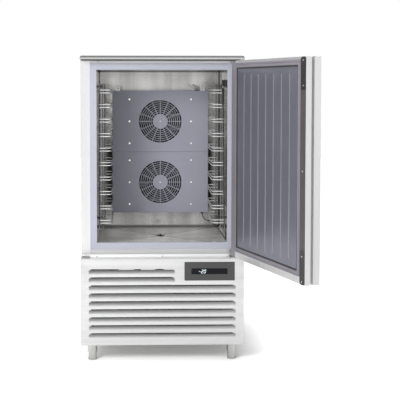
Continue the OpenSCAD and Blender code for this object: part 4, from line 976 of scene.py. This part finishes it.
class CHILLER_OT_door_seal(bpy.types.Operator):
    """Sweeps the door seal's profile round the inner panel: lip, valley and magnet bulb; and lays a black strip of
    painted shade in the gap between the seal and the inner panel's field
    """
    bl_idname = "chiller.door_seal"
    bl_label = "Door seal"

    # Across the seal from its outer edge, and its height, in thousandths of its width and of its height
    PROFILE = [(0, 0), (0, 250), (30, 520), (90, 560), (180, 600), (290, 560), (330, 430), (350, 260),
               (400, 220), (440, 260), (460, 500), (480, 800), (520, 950), (580, 1000), (820, 1000),
               (890, 950), (940, 800), (960, 420), (1000, 300), (1000, 0)]

    def execute(self, context):
        seal = context.scene.blast_chiller.seal
        height = 0.0047
        lip = [(seal.width * across / 1000, height * rise / 1000) for across, rise in self.PROFILE]
        self.sweep(seal, lip, "Door_seal", "Seal rubber", ["door_gasket"])
        # Painted shade: a black strip on the floor of the gap beside the seal and up the seal's inner wall.
        edge = seal.width
        floor = 0.0006
        gap = [(edge, 0), (edge, 0.0042), (edge + 0.0006, 0.0042), (edge + 0.0009, floor),
               (edge + seal.gap, floor), (edge + seal.gap, 0)]
        self.sweep(seal, gap, "Door_seal_channel", "Sealant")
        return {"FINISHED"}

    def sweep(self, seal, profile, name, finish, replaces=()):
        """Runs a profile of (distance from the seal's outer edge, height) round the inner panel."""
        face, x, z0, z1 = -0.3495, 0.353, 0.549, 1.464
        left, right, low, high = -x + seal.corner, x - seal.corner, z0 + seal.corner, z1 - seal.corner
        bm = bmesh.new()
        place = door_matrix()
        loops = []
        for cx, cz, start in ((right, high, 0), (left, high, 90), (left, low, 180), (right, low, 270)):
            for angle in arc(start, 90, 6):
                ring = []
                for inset, rise in profile:
                    radius = max(seal.corner - inset, 0)
                    inner = max(inset - seal.corner, 0)
                    px = cx + radius * math.cos(angle) - inner * (1 if cx > 0 else -1)
                    pz = cz + radius * math.sin(angle) - inner * (1 if cz > low else -1)
                    ring.append(bm.verts.new(place @ Vector((px, face + rise, pz))))
                loops.append(ring)
        for a, b in zip(loops, loops[1:] + loops[:1]):
            for k in range(len(a)):
                m = (k + 1) % len(a)
                bm.faces.new((a[k], a[m], b[m], b[k]))
        bmesh.ops.remove_doubles(bm, verts=bm.verts, dist=1e-6)
        outward(bm)
        new_piece(name, bm, finish, "door", replaces, 50)


def recessed_head(bm, place, radius, height):
    """A domed screw head with a cross recess, standing on its Z = 0."""
    turns = 24
    arm = radius * 0.62
    half = radius * 0.15
    deep = height * 0.55
    rings = [circle(bm, place, radius * wide, height * rise, turns)
             for wide, rise in ((1, 0), (1, 0.35), (0.93, 0.7), (0.8, 1))]
    bridge(bm, rings)
    bm.faces.new(rings[0][::-1])
    cross = [(x * c - y * s, x * s + y * c) for c, s in ((1, 0), (0, 1), (-1, 0), (0, -1))
             for x, y in ((arm, -half), (arm, half), (half, half))]
    rim = [bm.verts.new(place @ Vector((x, y, height))) for x, y in cross]
    well = [bm.verts.new(place @ Vector((x * 0.8, y * 0.8, height - deep))) for x, y in cross]
    bridge(bm, [rim[::-1], well[::-1]])
    bm.faces.new(well)
    edges = [bm.edges.get(pair) for loop in (rings[-1], rim) for pair in zip(loop, loop[1:] + loop[:1])]
    bmesh.ops.triangle_fill(bm, edges=edges, use_beauty=True)


class CHILLER_OT_screws(bpy.types.Operator):
    """Puts cross-recessed heads on the baffles, the ledge and the door's trim"""
    bl_idname = "chiller.screws"
    bl_label = "Screws"

    def execute(self, context):
        bm = bmesh.new()
        forward = Matrix.Rotation(math.radians(90), 4, "X")
        for z in (840, 1165):
            for x in (-164, 164):
                for dz in (-117, 0, 117):
                    turn = Matrix.Rotation(math.radians(37 * (x + dz + z)), 4, "Z")
                    recessed_head(bm, Matrix.Translation(at(x, 80, z + dz)) @ forward @ turn, 0.0064, 0.0030)
            recessed_head(bm, Matrix.Translation(at(0, 80, z)) @ forward, 0.0040, 0.0020)
        for x in (-321, 0, 321):
            recessed_head(bm, Matrix.Translation(at(x, -354.5, 510)) @ Matrix.Rotation(x, 4, "Z"), 0.0046, 0.0031)
        outward(bm)
        new_piece("Panel_screw_heads", bm, "Screw steel", "cabinet", ["panel_screws"])
        bm = bmesh.new()
        backward = Matrix.Rotation(math.radians(-90), 4, "X")
        for z in (533, 639, 997.5, 1356, 1462):
            place = door_matrix() @ Matrix.Translation(Vector((-376.5, -347.5, z)) * 0.001)
            recessed_head(bm, place @ backward @ Matrix.Rotation(z, 4, "Z"), 0.0041, 0.0016)
        outward(bm)
        new_piece("Trim_screw_heads", bm, "Screw steel", "door", ["trim_screws"])
        return {"FINISHED"}


class CHILLER_OT_display(bpy.types.Operator):
    """Lights the seven-segment reading behind the window"""
    bl_idname = "chiller.display"
    bl_label = "Display"

    SEGMENTS = {"a": (0, 2, 1, 2), "b": (1, 1, 1, 2), "c": (1, 0, 1, 1), "d": (0, 0, 1, 0), "e": (0, 0, 0, 1),
                "f": (0, 1, 0, 2), "g": (0, 1, 1, 1)}
    SHAPES = {"0": "abcdef", "1": "bc", "2": "abged", "3": "abgcd", "4": "fgbc", "5": "afgcd", "6": "afgedc",
              "7": "abc", "8": "abcdefg", "9": "abcfgd", "-": "g"}

    def execute(self, context):
        display = context.scene.blast_chiller.display
        low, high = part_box("display_window")
        middle = (low.z + high.z) / 2 - 0.001
        cell = display.height / 2
        width = cell * 0.95
        face = low.y - 0.00012
        x = low.x + 0.036
        bm = bmesh.new()
        for letter in display.reading:
            for key in self.SHAPES.get(letter, ""):
                self.segment(bm, display, self.SEGMENTS[key], x, middle, cell, width, face)
            x += width + cell * 0.62
        outward(bm)
        new_piece("Display_reading", bm, "Lit segments", "cabinet")
        return {"FINISHED"}

    def segment(self, bm, display, ends, x, middle, cell, width, face):
        thick = cell * 0.16
        gap = cell * 0.06
        a = Vector((ends[0] * width, (ends[1] - 1) * cell))
        b = Vector((ends[2] * width, (ends[3] - 1) * cell))
        along = (b - a).normalized()
        across = Vector((-along.y, along.x))
        a += along * gap
        b -= along * gap
        outline = [a, a + (along + across) * thick, b + (across - along) * thick, b,
                   b - (along + across) * thick, a + (along - across) * thick]
        lean = math.tan(display.lean)
        front, back = ([bm.verts.new((x + p.x + p.y * lean, face + deep, middle + p.y)) for p in outline]
                       for deep in (0, 0.0001))
        bm.faces.new(front[::-1])
        bm.faces.new(back)
        bridge(bm, [front, back])


class CHILLER_PT_panel(bpy.types.Panel):
    """Lists the pieces and the stage"""
    bl_label = "Blast chiller"
    bl_idname = "CHILLER_PT_panel"
    bl_space_type = "VIEW_3D"
    bl_region_type = "UI"
    bl_category = "Blast chiller"

    def draw(self, context):
        settings = context.scene.blast_chiller
        for operator in OPERATORS:
            self.layout.operator(operator.bl_idname)
        for name in ChillerSettings.__annotations__:
            group = getattr(settings, name)
            box = self.layout.box()
            for key in group.__annotations__:
                box.prop(group, key)


OPERATORS = (CHILLER_OT_stage, CHILLER_OT_probe_cable, CHILLER_OT_core_probe, CHILLER_OT_cabinet_finishes,
             CHILLER_OT_cabinet_shells, CHILLER_OT_top_cover, CHILLER_OT_front_panel, CHILLER_OT_door,
             CHILLER_OT_door_seal, CHILLER_OT_screws, CHILLER_OT_display)
CLASSES = (FinishSettings, PanelSettings, SealSettings, DisplaySettings, ProbeSettings, StudioSettings,
           ChillerSettings, *OPERATORS, CHILLER_PT_panel)


def register():
    for cls in CLASSES:
        bpy.utils.register_class(cls)
    bpy.types.Scene.blast_chiller = PointerProperty(type=ChillerSettings)


def unregister():
    del bpy.types.Scene.blast_chiller
    for cls in reversed(CLASSES):
        bpy.utils.unregister_class(cls)


def main():
    register()
    bpy.ops.chiller.stage()
    bpy.ops.chiller.probe_cable()
    bpy.ops.chiller.core_probe()
    bpy.ops.chiller.cabinet_finishes()
    bpy.ops.chiller.cabinet_shells()
    bpy.ops.chiller.top_cover()
    bpy.ops.chiller.front_panel()
    bpy.ops.chiller.door()
    bpy.ops.chiller.door_seal()
    bpy.ops.chiller.screws()
    bpy.ops.chiller.display()


if __name__ == "__main__":
    main()
